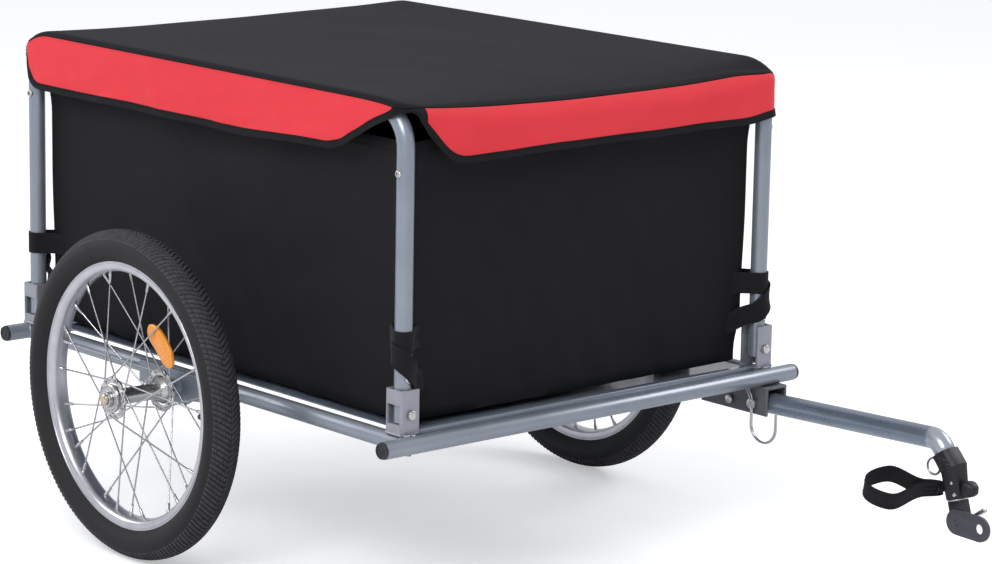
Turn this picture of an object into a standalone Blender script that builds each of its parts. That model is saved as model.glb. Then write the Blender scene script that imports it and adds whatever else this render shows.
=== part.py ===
"""Two-wheeled bicycle cargo trailer with a fabric box on folding hoops.

Metres, +X towards the bicycle, +Y to the left, +Z up. Every piece hangs under the empty named trailer.
Inside it the X and Y zero is the middle of the wheel axle, and the ground is at Z zero. The empty is moved
along X so that the world origin is the middle of the whole length.
"""

import math

import bmesh
import bpy
from mathutils import Matrix, Vector

# Clearances
GAP = 0.0003
PIVOT_PLAY = 0.0010
BAR_PLAY = 0.0008

# Wheels, 16 inch on a 305 mm bead seat
WHEEL_RADIUS = 0.196
TYRE_WIDTH = 0.044
TYRE_HEIGHT = 0.041
TYRE_SHOULDER_DROP = 0.22
TYRE_SHOULDER_SHARE = 0.82
TYRE_CROWN_SHARE = 0.35
WHEEL_Y = 0.358
RIM_WIDTH = 0.0235
RIM_HEIGHT = 0.0125
BEAD_OVERLAP = 0.0035
RIM_FLANGE = 0.0015
RIM_TAPER = 1.6
RIM_WELL_SHARE = 0.45
SPOKE_RIM_SHARE = 0.1
BEAD_DEPTH = 0.004
WHEEL_SIDES = 42

# Spokes and hubs
SPOKE_RADIUS = 0.0010
SPOKES_PER_FLANGE = 14
SPOKE_TURN = math.radians(62)
SPOKE_CROSSING = 0.0006
FLANGE_RADIUS = 0.0255
FLANGE_THICKNESS = 0.003
INNER_FLANGE_Y = 0.3145
OUTER_FLANGE_Y = 0.383
BARREL_RADIUS = 0.0095
BEARING_RADIUS = 0.0143
BEARING_WIDTH = 0.008
HUB_CUP_WALL = 0.0025
HUB_CUP_INNER_LENGTH = 0.0035
HUB_CUP_OUTER_LENGTH = 0.0075
AXLE_RADIUS = 0.00635
AXLE_HEAD_RADIUS = 0.010
AXLE_HEAD_LENGTH = 0.0045
BUTTON_RADIUS = 0.0065
BUTTON_LENGTH = 0.0045
BUTTON_DEPTH = 0.010
BUTTON_TRAVEL = 0.003
BUTTON_BORE_SHARE = 0.6
BUTTON_DOME_SHARE = 0.7
HUB_SIDES = 20
BORE_SIDES = 24

# Reflector and valve
REFLECTOR_LENGTH = 0.062
REFLECTOR_HEIGHT = 0.022
REFLECTOR_THICKNESS = 0.007
REFLECTOR_RADIUS = 0.097
REFLECTOR_ANGLE = math.radians(48)
VALVE_RADIUS = 0.004
VALVE_LENGTH = 0.0135

# Frame tubes
TUBE_RADIUS = 0.010
TUBE_WALL = 0.0015
TUBE_SIDES = 16
FRAME_ABOVE_AXLE = 0.011
RAIL_Y = 0.280
FRONT_TUBE_X = 0.415
REAR_TUBE_X = -0.324
CROSS_TUBE_END_Y = 0.318
PLUG_CAP = 0.003
EDGE_CHAMFER = 0.001
PLUG_DEPTH = 0.012

# Floor panel
PANEL_THICKNESS = 0.0015
PANEL_RISE = 0.0095
LIP_HEIGHT = 0.004
LIP_WIDTH = 0.010
PANEL_SKIRT = 0.013

# Axle bracket under each side rail
GUSSET_THICKNESS = 0.0035
GUSSET_HALF_LENGTH = 0.075
GUSSET_SHOULDER = 0.030
GUSSET_NOSE = 0.018
GUSSET_END_DROP = 0.0055
GUSSET_SHOULDER_DROP = 0.0115
GUSSET_LOW_DROP = 0.018
SOCKET_RADIUS = 0.011

# Hoops and their feet
HOOP_RADIUS = 0.010
FRONT_POST_X = 0.396
REAR_POST_X = -0.316
POST_Y = 0.2756
HOOP_HEIGHT = 0.369
HOOP_BEND_RADIUS = 0.042
HOOP_PIVOT_RISE = 0.033
POST_FOOT_BELOW_PIVOT = 0.010
FOOT_WALL = 0.003
FOOT_DEPTH = 0.0255
FOOT_HEIGHT = 0.0505
WINDOW_CLEARANCE = 0.0009
BOLT_RADIUS = 0.003
BOLT_HEAD_RADIUS = 0.0055
BOLT_HEAD_LENGTH = 0.004

# Bag and cover
CLOTH = 0.002
BAG_SIDE_CLEARANCE = 0.003
BAG_TOP_DROP = 0.036
COVER_CLEARANCE = 0.002
COVER_CLOTH = 0.003
COVER_CROWN = 0.006
FLAP_BOTTOM_DROP = 0.060

# Drawbar bracket, drawbar and lock pin
BAR_RADIUS = 0.0127
BAR_WALL = 0.0018
BAR_RISE = math.radians(2.05)
BAR_PIVOT_X = 0.368
BAR_PIVOT_DROP = 0.034
BAR_TAIL = 0.014
BAR_CORNER = 0.3205
BAR_BEND = math.radians(57)
BAR_BEND_RADIUS = 0.022
BAR_END_STRAIGHT = 0.004
CHANNEL_WALL = 0.0035
CHANNEL_REAR_X = 0.318
CHANNEL_FRONT_X = 0.4285
CHANNEL_HEIGHT_BELOW_FRAME = 0.0455
PIN_X = 0.4066
PIN_RADIUS = 0.004
PIN_PLAY = 0.0005
PIN_HEAD_RADIUS = 0.0065
PIN_HEAD_LENGTH = 0.005
PIN_TIP = 0.007
PIN_TIP_SHARE = 0.6
BAIL_WIRE_RADIUS = 0.0011
BAIL_BOTTOM_DROP = 0.078
BAIL_END_DROP = 0.047
BAIL_WIDTH = 0.041
BAIL_OVERSWING = 0.09

# Coupler and hitch, in the plane of the drawbar
COUPLER_LEAN = 0.022
COUPLER_DROP = 0.0504
COUPLER_WAIST_LEAN = 0.0145
COUPLER_WAIST_DROP = 0.0165
COUPLER_TOP_HALF = 0.0137
COUPLER_WAIST_HALF = 0.0140
COUPLER_BOTTOM_HALF = 0.0115
LEG_TILT = math.radians(17)
STUD_RADIUS = 0.005
STUD_LENGTH = 0.014
WASHER_RADIUS = 0.012
WASHER_THICKNESS = 0.0015
LEG_HALF_WIDTH = 0.011
LEG_THICKNESS = 0.012
LEG_PIN_DROP = 0.026
HITCH_PLATE_THICKNESS = 0.004
HITCH_PLATE_HALF_HEIGHT = 0.0148
HITCH_PLATE_REACH = 0.0339
HITCH_PLATE_DROP = math.radians(2)
AXLE_HOLE_RADIUS = 0.006
HITCH_PIN_RADIUS = 0.003
HITCH_PIN_SHOULDER = 0.006
HITCH_HANDLE_LENGTH = 0.026
HITCH_HANDLE_RISE = math.radians(35)
LINK_WIRE_RADIUS = 0.0015
LINK_WIRE_SIDES = 6
LINK_RADIUS = 0.0095
LINK_SHARE = 0.3
SAFETY_STRAP_LENGTH = 0.090
SAFETY_STRAP_HALF = 0.022
SAFETY_STRAP_WIDTH = 0.022
SAFETY_STRAP_THICKNESS = 0.002
SAFETY_STRAP_SIDES = 20
SAFETY_STRAP_DROP = 0.044
SAFETY_STRAP_SETBACK = 0.0038
SAFETY_STRAP_LEAN = math.radians(40)
SAFETY_STRAP_HEADING = math.radians(229)
BUCKLE_DROP = 0.036
BUCKLE_LENGTH = 0.017
BUCKLE_HALF = 0.0095
BUCKLE_SEAT_SHARE = 0.8
BUCKLE_BULGE_SHARE = 0.3
BUCKLE_TIP_SHARE = 0.6

# Sizes that follow from the ones above
AXLE_Z = WHEEL_RADIUS
FRAME_Z = AXLE_Z + FRAME_ABOVE_AXLE
PANEL_TOP_Z = FRAME_Z + PANEL_RISE
GUSSET_END_Z = AXLE_Z - GUSSET_END_DROP
GUSSET_SHOULDER_Z = AXLE_Z - GUSSET_SHOULDER_DROP
GUSSET_LOW_Z = AXLE_Z - GUSSET_LOW_DROP
HOOP_TOP_Z = FRAME_Z + HOOP_HEIGHT
HOOP_PIVOT_Z = FRAME_Z + HOOP_PIVOT_RISE
BAG_TOP_Z = HOOP_TOP_Z - BAG_TOP_DROP
FLAP_BOTTOM_Z = HOOP_TOP_Z - FLAP_BOTTOM_DROP
BAR_PIVOT_Z = FRAME_Z - BAR_PIVOT_DROP
CHANNEL_BOTTOM_Z = FRAME_Z - CHANNEL_HEIGHT_BELOW_FRAME
BAIL_BOTTOM_Z = FRAME_Z - BAIL_BOTTOM_DROP
BAIL_END_Z = FRAME_Z - BAIL_END_DROP
RIM_EDGE_RADIUS = WHEEL_RADIUS - TYRE_HEIGHT + BEAD_OVERLAP
RIM_BORE_RADIUS = RIM_EDGE_RADIUS - RIM_HEIGHT
VALVE_TIP_RADIUS = RIM_BORE_RADIUS - VALVE_LENGTH
AXLE_HEAD_Y = OUTER_FLANGE_Y + BEARING_WIDTH + GAP
SOCKET_INNER_Y = RAIL_Y + TUBE_RADIUS + GAP
SOCKET_OUTER_Y = INNER_FLANGE_Y + FLANGE_THICKNESS - BEARING_WIDTH - GAP
FOOT_BASE_Z = FRAME_Z + TUBE_RADIUS + GAP
FOOT_WEB_Y = POST_Y + HOOP_RADIUS + GAP
FOOT_HALF_GAP = HOOP_RADIUS + PIVOT_PLAY
COVER_INNER_Y = POST_Y + HOOP_RADIUS + COVER_CLEARANCE
COVER_FRONT_X = FRONT_POST_X + HOOP_RADIUS + COVER_CLEARANCE
COVER_REAR_X = REAR_POST_X - HOOP_RADIUS - COVER_CLEARANCE
COVER_UNDER_Z = HOOP_TOP_Z + HOOP_RADIUS + GAP
CHANNEL_TOP_Z = FRAME_Z - TUBE_RADIUS - GAP
CHANNEL_HALF_GAP = BAR_RADIUS + BAR_PLAY
CHANNEL_HALF_WIDTH = CHANNEL_HALF_GAP + CHANNEL_WALL
PIN_REACH = PIN_X - BAR_PIVOT_X
LEG_TOP_DROP = WASHER_THICKNESS + 2 * GAP


def remove_objects():
    for thing in list(bpy.data.objects):
        bpy.data.objects.remove(thing, do_unlink=True)


def finish(name, colour, roughness, metallic=0.0):
    """One material with the colour as sRGB numbers from 0 to 1."""
    material = bpy.data.materials.new(name)
    material.use_nodes = True
    shader = material.node_tree.nodes["Principled BSDF"]
    linear = [((part + 0.055) / 1.055) ** 2.4 if part > 0.04 else part / 12.92 for part in colour]
    shader.inputs["Base Color"].default_value = (*linear, 1.0)
    shader.inputs["Roughness"].default_value = roughness
    shader.inputs["Metallic"].default_value = metallic
    return material


def make_finishes():
    return {
        "frame": finish("frame_paint", (0.52, 0.57, 0.63), 0.35, 0.4),
        "foot": finish("foot_paint", (0.58, 0.58, 0.64), 0.4, 0.4),
        "channel": finish("channel_paint", (0.33, 0.33, 0.35), 0.45, 0.3),
        "bar": finish("bar_paint", (0.43, 0.49, 0.57), 0.3, 0.4),
        "zinc": finish("zinc", (0.75, 0.75, 0.77), 0.3, 1.0),
        "alloy": finish("alloy", (0.76, 0.76, 0.80), 0.25, 1.0),
        "steel": finish("steel", (0.6, 0.6, 0.62), 0.25, 1.0),
        "tyre": finish("tyre_rubber", (0.08, 0.08, 0.09), 0.8),
        "plastic": finish("black_plastic", (0.08, 0.08, 0.09), 0.5),
        "hitch": finish("hitch_coat", (0.30, 0.30, 0.33), 0.5, 0.2),
        "amber": finish("amber_lens", (0.88, 0.55, 0.12), 0.2),
        "black_cloth": finish("black_cloth", (0.11, 0.11, 0.13), 0.85),
        "top_cloth": finish("top_cloth", (0.19, 0.19, 0.22), 0.85),
        "red_cloth": finish("red_cloth", (0.92, 0.28, 0.32), 0.8),
        "webbing": finish("webbing", (0.17, 0.17, 0.19), 0.85),
    }


def empty(name, parent, location=(0, 0, 0), rotation=(0, 0, 0)):
    thing = bpy.data.objects.new(name, None)
    thing.parent = parent
    thing.location = location
    thing.rotation_euler = rotation
    bpy.context.scene.collection.objects.link(thing)
    return thing


def put(name, mesh, material, parent, location=(0, 0, 0), rotation=(0, 0, 0)):
    """One named object from a bmesh, shaded smooth with sharp edges where faces meet steeply."""
    bmesh.ops.recalc_face_normals(mesh, faces=mesh.faces)
    data = bpy.data.meshes.new(name)
    mesh.to_mesh(data)
    mesh.free()
    data.shade_smooth()
    data.set_sharp_from_angle(angle=math.radians(35))
    thing = bpy.data.objects.new(name, data)
    if material is not None:
        data.materials.append(material)
    thing.parent = parent
    thing.location = location
    thing.rotation_euler = rotation
    bpy.context.scene.collection.objects.link(thing)
    return thing


def cutter(name, mesh, parent, location=(0, 0, 0), rotation=(0, 0, 0)):
    thing = put(name, mesh, None, parent, location, rotation)
    thing.hide_render = True
    thing.display_type = "WIRE"
    return thing


def cut(target, tool, operation="DIFFERENCE"):
    modifier = target.modifiers.new(tool.name, "BOOLEAN")
    modifier.operation = operation
    modifier.object = tool


def ring_of(mesh, points):
    return [mesh.verts.new(point) for point in points]


def bridge(mesh, first, second):
    count = len(first)
    for index in range(count):
        after = (index + 1) % count
        mesh.faces.new((first[index], first[after], second[after], second[index]))


def turned(profile, sides, start=0.0):
    """A closed profile of (radius, along) points turned about the Y axis. Zero radius makes a solid end."""
    mesh = bmesh.new()
    rings = []
    for radius, along in profile:
        if radius == 0:
            rings.append([mesh.verts.new((0, along, 0))])
            continue
        angles = [start + 2 * math.pi * step / sides for step in range(sides)]
        rings.append(ring_of(mesh, [(radius * math.cos(a), along, radius * math.sin(a)) for a in angles]))
    for index, ring in enumerate(rings):
        after = rings[(index + 1) % len(rings)]
        if len(ring) > 1 and len(after) > 1:
            bridge(mesh, ring, after)
            continue
        if len(ring) == len(after):
            continue
        point = ring[0] if len(ring) == 1 else after[0]
        loop = after if len(ring) == 1 else ring
        for step in range(sides):
            mesh.faces.new((loop[step], loop[(step + 1) % sides], point))
    return mesh


def rod(radius, start, end, sides=16):
    """A solid rod along Y."""
    return turned([(0, start), (radius, start), (radius, end), (0, end)], sides)


def sleeve(inner, outer, start, end, sides=24):
    """A tube along Y with open ends."""
    return turned([(inner, start), (outer, start), (outer, end), (inner, end)], sides)


def box(low, high):
    mesh = bmesh.new()
    size = [b - a for a, b in zip(low, high)]
    middle = [(a + b) / 2 for a, b in zip(low, high)]
    matrix = Matrix.Translation(middle) @ Matrix.Diagonal((*size, 1))
    bmesh.ops.create_cube(mesh, size=1, matrix=matrix)
    return mesh


def plate(outline, low, high, axis="Y"):
    """A flat outline of two coordinates pushed along the axis from low to high."""
    mesh = bmesh.new()
    orders = {"X": lambda a, b, t: (t, a, b), "Y": lambda a, b, t: (a, t, b),
              "Z": lambda a, b, t: (a, b, t)}
    order = orders[axis]
    first = ring_of(mesh, [order(a, b, low) for a, b in outline])
    second = ring_of(mesh, [order(a, b, high) for a, b in outline])
    bridge(mesh, first, second)
    mesh.faces.new(first)
    mesh.faces.new(second)
    return mesh


def arc(centre, radius, start, end, steps):
    """Points of an arc in a plane, both ends included."""
    angles = [start + (end - start) * step / steps for step in range(steps + 1)]
    return [(centre[0] + radius * math.cos(a), centre[1] + radius * math.sin(a)) for a in angles]


def swept(path, radius, sides, bore=0.0, side=Vector((0, 1, 0))):
    """A round tube along points of one plane. Side is the plane's normal. A bore leaves both ends open."""
    mesh = bmesh.new()
    path = [Vector(point) for point in path]
    rings = []
    for index, point in enumerate(path):
        before = (point - path[index - 1]).normalized() if index else None
        after = (path[index + 1] - point).normalized() if index + 1 < len(path) else None
        along = ((before or after) + (after or before)).normalized()
        lean = 1 / max(0.5, along.dot(before or after))
        across = along.cross(side).normalized()
        angles = [2 * math.pi * step / sides for step in range(sides)]
        turn = [(math.cos(a), math.sin(a)) for a in angles]
        rings.append([ring_of(mesh, [point + (side * c + across * s * lean) * size for c, s in turn])
                      for size in ((radius, bore) if bore else (radius,))])
    for first, second in zip(rings, rings[1:]):
        for layer in range(len(first)):
            bridge(mesh, first[layer], second[layer])
    for ends in (rings[0], rings[-1]):
        if bore:
            bridge(mesh, ends[0], ends[1])
        else:
            mesh.faces.new(ends[0])
    return mesh


def side_name(side):
    return "left" if side > 0 else "right"


def make_cross_tubes(root, finishes):
    for name, x in (("front", FRONT_TUBE_X), ("rear", REAR_TUBE_X)):
        tube = sleeve(TUBE_RADIUS - TUBE_WALL, TUBE_RADIUS, -CROSS_TUBE_END_Y, CROSS_TUBE_END_Y, TUBE_SIDES)
        put(f"{name}_cross_tube", tube, finishes["frame"], root, (x, 0, FRAME_Z))
        for side in (1, -1):
            face = CROSS_TUBE_END_Y + GAP
            fit = TUBE_RADIUS - TUBE_WALL - GAP
            profile = [(0, face - PLUG_DEPTH), (fit, face - PLUG_DEPTH), (fit, face),
                       (TUBE_RADIUS, face), (TUBE_RADIUS - EDGE_CHAMFER, face + PLUG_CAP),
                       (0, face + PLUG_CAP)]
            plug = turned([(radius, side * along) for radius, along in profile], TUBE_SIDES)
            put(f"{name}_{side_name(side)}_end_plug", plug, finishes["plastic"], root, (x, 0, FRAME_Z))


def make_side_rails(root, finishes):
    """The rails run into both cross tubes and are coped to their round sides."""
    copes = []
    for name, x in (("front", FRONT_TUBE_X), ("rear", REAR_TUBE_X)):
        reach = RAIL_Y + 2 * TUBE_RADIUS
        shape = rod(TUBE_RADIUS + GAP, -reach, reach, TUBE_SIDES)
        copes.append(cutter(f"{name}_cope", shape, root, (x, 0, FRAME_Z)))
    for side in (1, -1):
        path = [(REAR_TUBE_X, side * RAIL_Y, FRAME_Z), (FRONT_TUBE_X, side * RAIL_Y, FRAME_Z)]
        rail = swept(path, TUBE_RADIUS, TUBE_SIDES, TUBE_RADIUS - TUBE_WALL)
        rail = put(f"{side_name(side)}_side_rail", rail, finishes["frame"], root)
        for cope in copes:
            cut(rail, cope)


def make_floor_panel(root, finishes):
    """A sheet with a raised lip and a turned down edge along each cross tube."""
    front = FRONT_TUBE_X - TUBE_RADIUS - GAP
    rear = REAR_TUBE_X + TUBE_RADIUS + GAP
    low = PANEL_TOP_Z - PANEL_SKIRT
    lip = PANEL_TOP_Z + LIP_HEIGHT
    wall = PANEL_THICKNESS
    upper = [(front, low), (front, lip), (front - LIP_WIDTH, lip),
             (front - LIP_WIDTH - LIP_HEIGHT, PANEL_TOP_Z), (rear + LIP_WIDTH + LIP_HEIGHT, PANEL_TOP_Z),
             (rear + LIP_WIDTH, lip), (rear, lip), (rear, low)]
    lower = [(rear + wall, low), (rear + wall, lip - wall), (rear + LIP_WIDTH - wall / 2, lip - wall),
             (rear + LIP_WIDTH + LIP_HEIGHT - wall / 2, PANEL_TOP_Z - wall),
             (front - LIP_WIDTH - LIP_HEIGHT + wall / 2, PANEL_TOP_Z - wall),
             (front - LIP_WIDTH + wall / 2, lip - wall), (front - wall, lip - wall), (front - wall, low)]
    half = FOOT_WEB_Y + FOOT_WALL - FOOT_DEPTH - GAP
    put("floor_panel", plate(upper + lower, -half, half), finishes["frame"], root)


def make_axle_brackets(root, finishes):
    """A plate beside each rail with the round socket for the axle welded through it."""
    outline = [(GUSSET_NOSE, GUSSET_LOW_Z), (GUSSET_SHOULDER, GUSSET_SHOULDER_Z),
               (GUSSET_HALF_LENGTH, GUSSET_END_Z), (GUSSET_HALF_LENGTH, FRAME_Z + TUBE_RADIUS)]
    outline += [(-x, z) for x, z in reversed(outline)]
    for side in (1, -1):
        name = side_name(side)
        inner = SOCKET_INNER_Y
        shape = plate(outline, side * inner, side * (inner + GUSSET_THICKNESS))
        bracket = put(f"{name}_axle_bracket", shape, finishes["frame"], root)
        socket = rod(SOCKET_RADIUS, side * inner, side * SOCKET_OUTER_Y, 24)
        cut(bracket, cutter(f"{name}_socket_body", socket, root, (0, 0, AXLE_Z)), "UNION")
        bore_ends = (side * (inner - TUBE_RADIUS), side * (SOCKET_OUTER_Y + TUBE_RADIUS))
        bore = rod(AXLE_RADIUS + GAP, *bore_ends, BORE_SIDES)
        cut(bracket, cutter(f"{name}_socket_bore", bore, root, (0, 0, AXLE_Z)))


def make_feet(root, finishes):
    """Four U brackets. Each holds a post between two flanges on a bolt along X."""
    web_inner = FOOT_WEB_Y
    web_outer = web_inner + FOOT_WALL
    tip = web_outer - FOOT_DEPTH
    half_outer = FOOT_HALF_GAP + FOOT_WALL
    swing = math.hypot(HOOP_RADIUS, POST_FOOT_BELOW_PIVOT)
    window_half_height = math.sqrt(swing ** 2 - HOOP_RADIUS ** 2) + WINDOW_CLEARANCE
    window_half_width = HOOP_RADIUS + WINDOW_CLEARANCE / 2
    top = FOOT_BASE_Z + FOOT_HEIGHT
    outer = half_outer + GAP
    bolt = [(0, -outer - BOLT_HEAD_LENGTH), (BOLT_HEAD_RADIUS, -outer - BOLT_HEAD_LENGTH),
            (BOLT_HEAD_RADIUS, -outer), (BOLT_RADIUS, -outer), (BOLT_RADIUS, outer), (BOLT_HEAD_RADIUS, outer),
            (BOLT_HEAD_RADIUS, outer + BOLT_HEAD_LENGTH), (0, outer + BOLT_HEAD_LENGTH)]
    for end, x in (("front", FRONT_POST_X), ("rear", REAR_POST_X)):
        for side in (1, -1):
            name = f"{side_name(side)}_{end}"
            outline = [(-half_outer, tip), (-half_outer, web_outer), (half_outer, web_outer),
                       (half_outer, tip), (FOOT_HALF_GAP, tip), (FOOT_HALF_GAP, web_inner),
                       (-FOOT_HALF_GAP, web_inner), (-FOOT_HALF_GAP, tip)]
            outline = [(x + along, side * across) for along, across in outline]
            foot = plate(outline, FOOT_BASE_Z, top, "Z")
            foot = put(f"{name}_foot_bracket", foot, finishes["foot"], root)
            low = (x - window_half_width, min(side * (web_inner - GAP), side * (web_outer + GAP)),
                   HOOP_PIVOT_Z - window_half_height)
            high = (x + window_half_width, max(side * (web_inner - GAP), side * (web_outer + GAP)),
                    HOOP_PIVOT_Z + window_half_height)
            cut(foot, cutter(f"{name}_window", box(low, high), root))
            hole = rod(BOLT_RADIUS + GAP, -2 * half_outer, 2 * half_outer, 12)
            spot = (x, side * POST_Y, HOOP_PIVOT_Z)
            turn = (0, 0, -math.pi / 2)
            cut(foot, cutter(f"{name}_bolt_hole", hole, root, spot, turn))
            put(f"{name}_foot_bolt", turned(bolt, 12), finishes["zinc"], root, spot, turn)


def make_hoops(root, finishes):
    """Two inverted U tubes, each on its own pivot line along X."""
    foot = -POST_FOOT_BELOW_PIVOT
    top = HOOP_TOP_Z - HOOP_PIVOT_Z
    bend = HOOP_BEND_RADIUS
    front_arc = arc((FRONT_POST_X - bend, top - bend), bend, 0, math.pi / 2, 6)
    rear_arc = arc((REAR_POST_X + bend, top - bend), bend, math.pi / 2, math.pi, 6)
    line = [(FRONT_POST_X, foot)] + front_arc + rear_arc + [(REAR_POST_X, foot)]
    for side in (1, -1):
        name = side_name(side)
        pivot = empty(f"{name}_hoop_pivot", root, (0, side * POST_Y, HOOP_PIVOT_Z))
        tube = swept([(x, 0, z) for x, z in line], HOOP_RADIUS, 12, HOOP_RADIUS - TUBE_WALL)
        hoop = put(f"{name}_hoop", tube, finishes["frame"], pivot)
        hole = rod(BOLT_RADIUS + GAP, REAR_POST_X - bend, FRONT_POST_X + bend, 12)
        cut(hoop, cutter(f"{name}_hoop_holes", hole, pivot, (0, 0, 0), (0, 0, -math.pi / 2)))


def make_bag(root, finishes):
    """The open topped bag inside the hoops."""
    half = POST_Y - HOOP_RADIUS - BAG_SIDE_CLEARANCE
    front = FRONT_POST_X - HOOP_RADIUS - BAG_SIDE_CLEARANCE
    rear = REAR_POST_X + HOOP_RADIUS + BAG_SIDE_CLEARANCE
    bottom = PANEL_TOP_Z + LIP_HEIGHT + GAP
    mesh = bmesh.new()
    levels = [(0, bottom), (0, BAG_TOP_Z), (CLOTH, BAG_TOP_Z), (CLOTH, bottom + CLOTH)]
    rings = []
    for inset, z in levels:
        corners = [(front - inset, half - inset), (rear + inset, half - inset),
                   (rear + inset, inset - half), (front - inset, inset - half)]
        rings.append(ring_of(mesh, [(x, y, z) for x, y in corners]))
    for first, second in zip(rings, rings[1:]):
        bridge(mesh, first, second)
    mesh.faces.new(rings[0])
    mesh.faces.new(rings[-1])
    put("cargo_bag", mesh, finishes["black_cloth"], root)


def make_cover(root, finishes):
    """The crowned top and the band of flaps that hangs outside the hoops."""
    top = COVER_UNDER_Z + COVER_CLOTH
    front = COVER_FRONT_X + COVER_CLOTH
    rear = COVER_REAR_X - COVER_CLOTH
    half = COVER_INNER_Y + COVER_CLOTH
    middle = [(rear + half, 0), (front - half, 0)]
    mesh = bmesh.new()
    corners = [(rear, -half), (front, -half), (front, half), (rear, half)]
    low = ring_of(mesh, [(x, y, COVER_UNDER_Z) for x, y in corners])
    edge = ring_of(mesh, [(x, y, top) for x, y in corners])
    ridge = [mesh.verts.new((x, y, top + COVER_CROWN)) for x, y in middle]
    bridge(mesh, low, edge)
    mesh.faces.new(low)
    mesh.faces.new((edge[0], edge[1], ridge[1], ridge[0]))
    mesh.faces.new((edge[1], edge[2], ridge[1]))
    mesh.faces.new((edge[2], edge[3], ridge[0], ridge[1]))
    mesh.faces.new((edge[3], edge[0], ridge[0]))
    put("cover_top", mesh, finishes["top_cloth"], root)
    mesh = bmesh.new()
    hang = COVER_UNDER_Z - GAP
    rings = []
    for outset, z in ((0, FLAP_BOTTOM_Z), (COVER_CLOTH, FLAP_BOTTOM_Z), (COVER_CLOTH, hang), (0, hang)):
        rear, front = COVER_REAR_X - outset, COVER_FRONT_X + outset
        wide = COVER_INNER_Y + outset
        corners = [(rear, -wide), (front, -wide), (front, wide), (rear, wide)]
        rings.append(ring_of(mesh, [(x, y, z) for x, y in corners]))
    for index, ring in enumerate(rings):
        bridge(mesh, ring, rings[(index + 1) % len(rings)])
    put("cover_flaps", mesh, finishes["red_cloth"], root)


def spoke_ends():
    """Distances of a spoke's two ends from the axle's line."""
    return FLANGE_RADIUS + GAP + SPOKE_RADIUS, RIM_BORE_RADIUS * math.cos(math.pi / WHEEL_SIDES) - 2 * GAP


def spoke_rim_y(hub_y):
    """The spokes of the outer flange meet the rim a little outside its middle, the others inside it."""
    return WHEEL_Y + (SPOKE_RIM_SHARE if hub_y > WHEEL_Y else -SPOKE_RIM_SHARE) * RIM_WIDTH


def spoke_share(radius):
    """The share of a spoke's length that lies inside the radius."""
    inner, outer = spoke_ends()
    run = Vector((outer * math.cos(SPOKE_TURN) - inner, outer * math.sin(SPOKE_TURN)))
    lead = inner * run.x
    return (-lead + math.sqrt(lead ** 2 + run.length_squared * (radius ** 2 - inner ** 2))) / run.length_squared


def make_spokes(name, material, parent, side, hub_y):
    """Crossed spokes of one flange. The leading and the trailing set pass each other at the crossings."""
    spokes = []
    pairs = SPOKES_PER_FLANGE // 2
    inner, outer = spoke_ends()
    rim_y = side * spoke_rim_y(hub_y)
    for index in range(pairs):
        for hand in (1, -1):
            turn = 2 * math.pi * (index + (0.25 if hub_y > WHEEL_Y else 0)) / pairs
            far = turn + hand * SPOKE_TURN
            shift = side * hand * SPOKE_CROSSING / 2
            start = Vector((inner * math.cos(turn), side * hub_y + shift, inner * math.sin(turn)))
            end = Vector((outer * math.cos(far), rim_y + shift, outer * math.sin(far)))
            across = (end - start).normalized().cross(Vector((0, 1, 0))).normalized()
            spokes.append(swept([start, end], SPOKE_RADIUS, 4, side=across))
    whole = None
    for index, mesh in enumerate(spokes):
        if whole is None:
            whole = put(name, mesh, material, parent)
        else:
            cut(whole, cutter(f"{name}_{index}", mesh, parent), "UNION")


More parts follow.
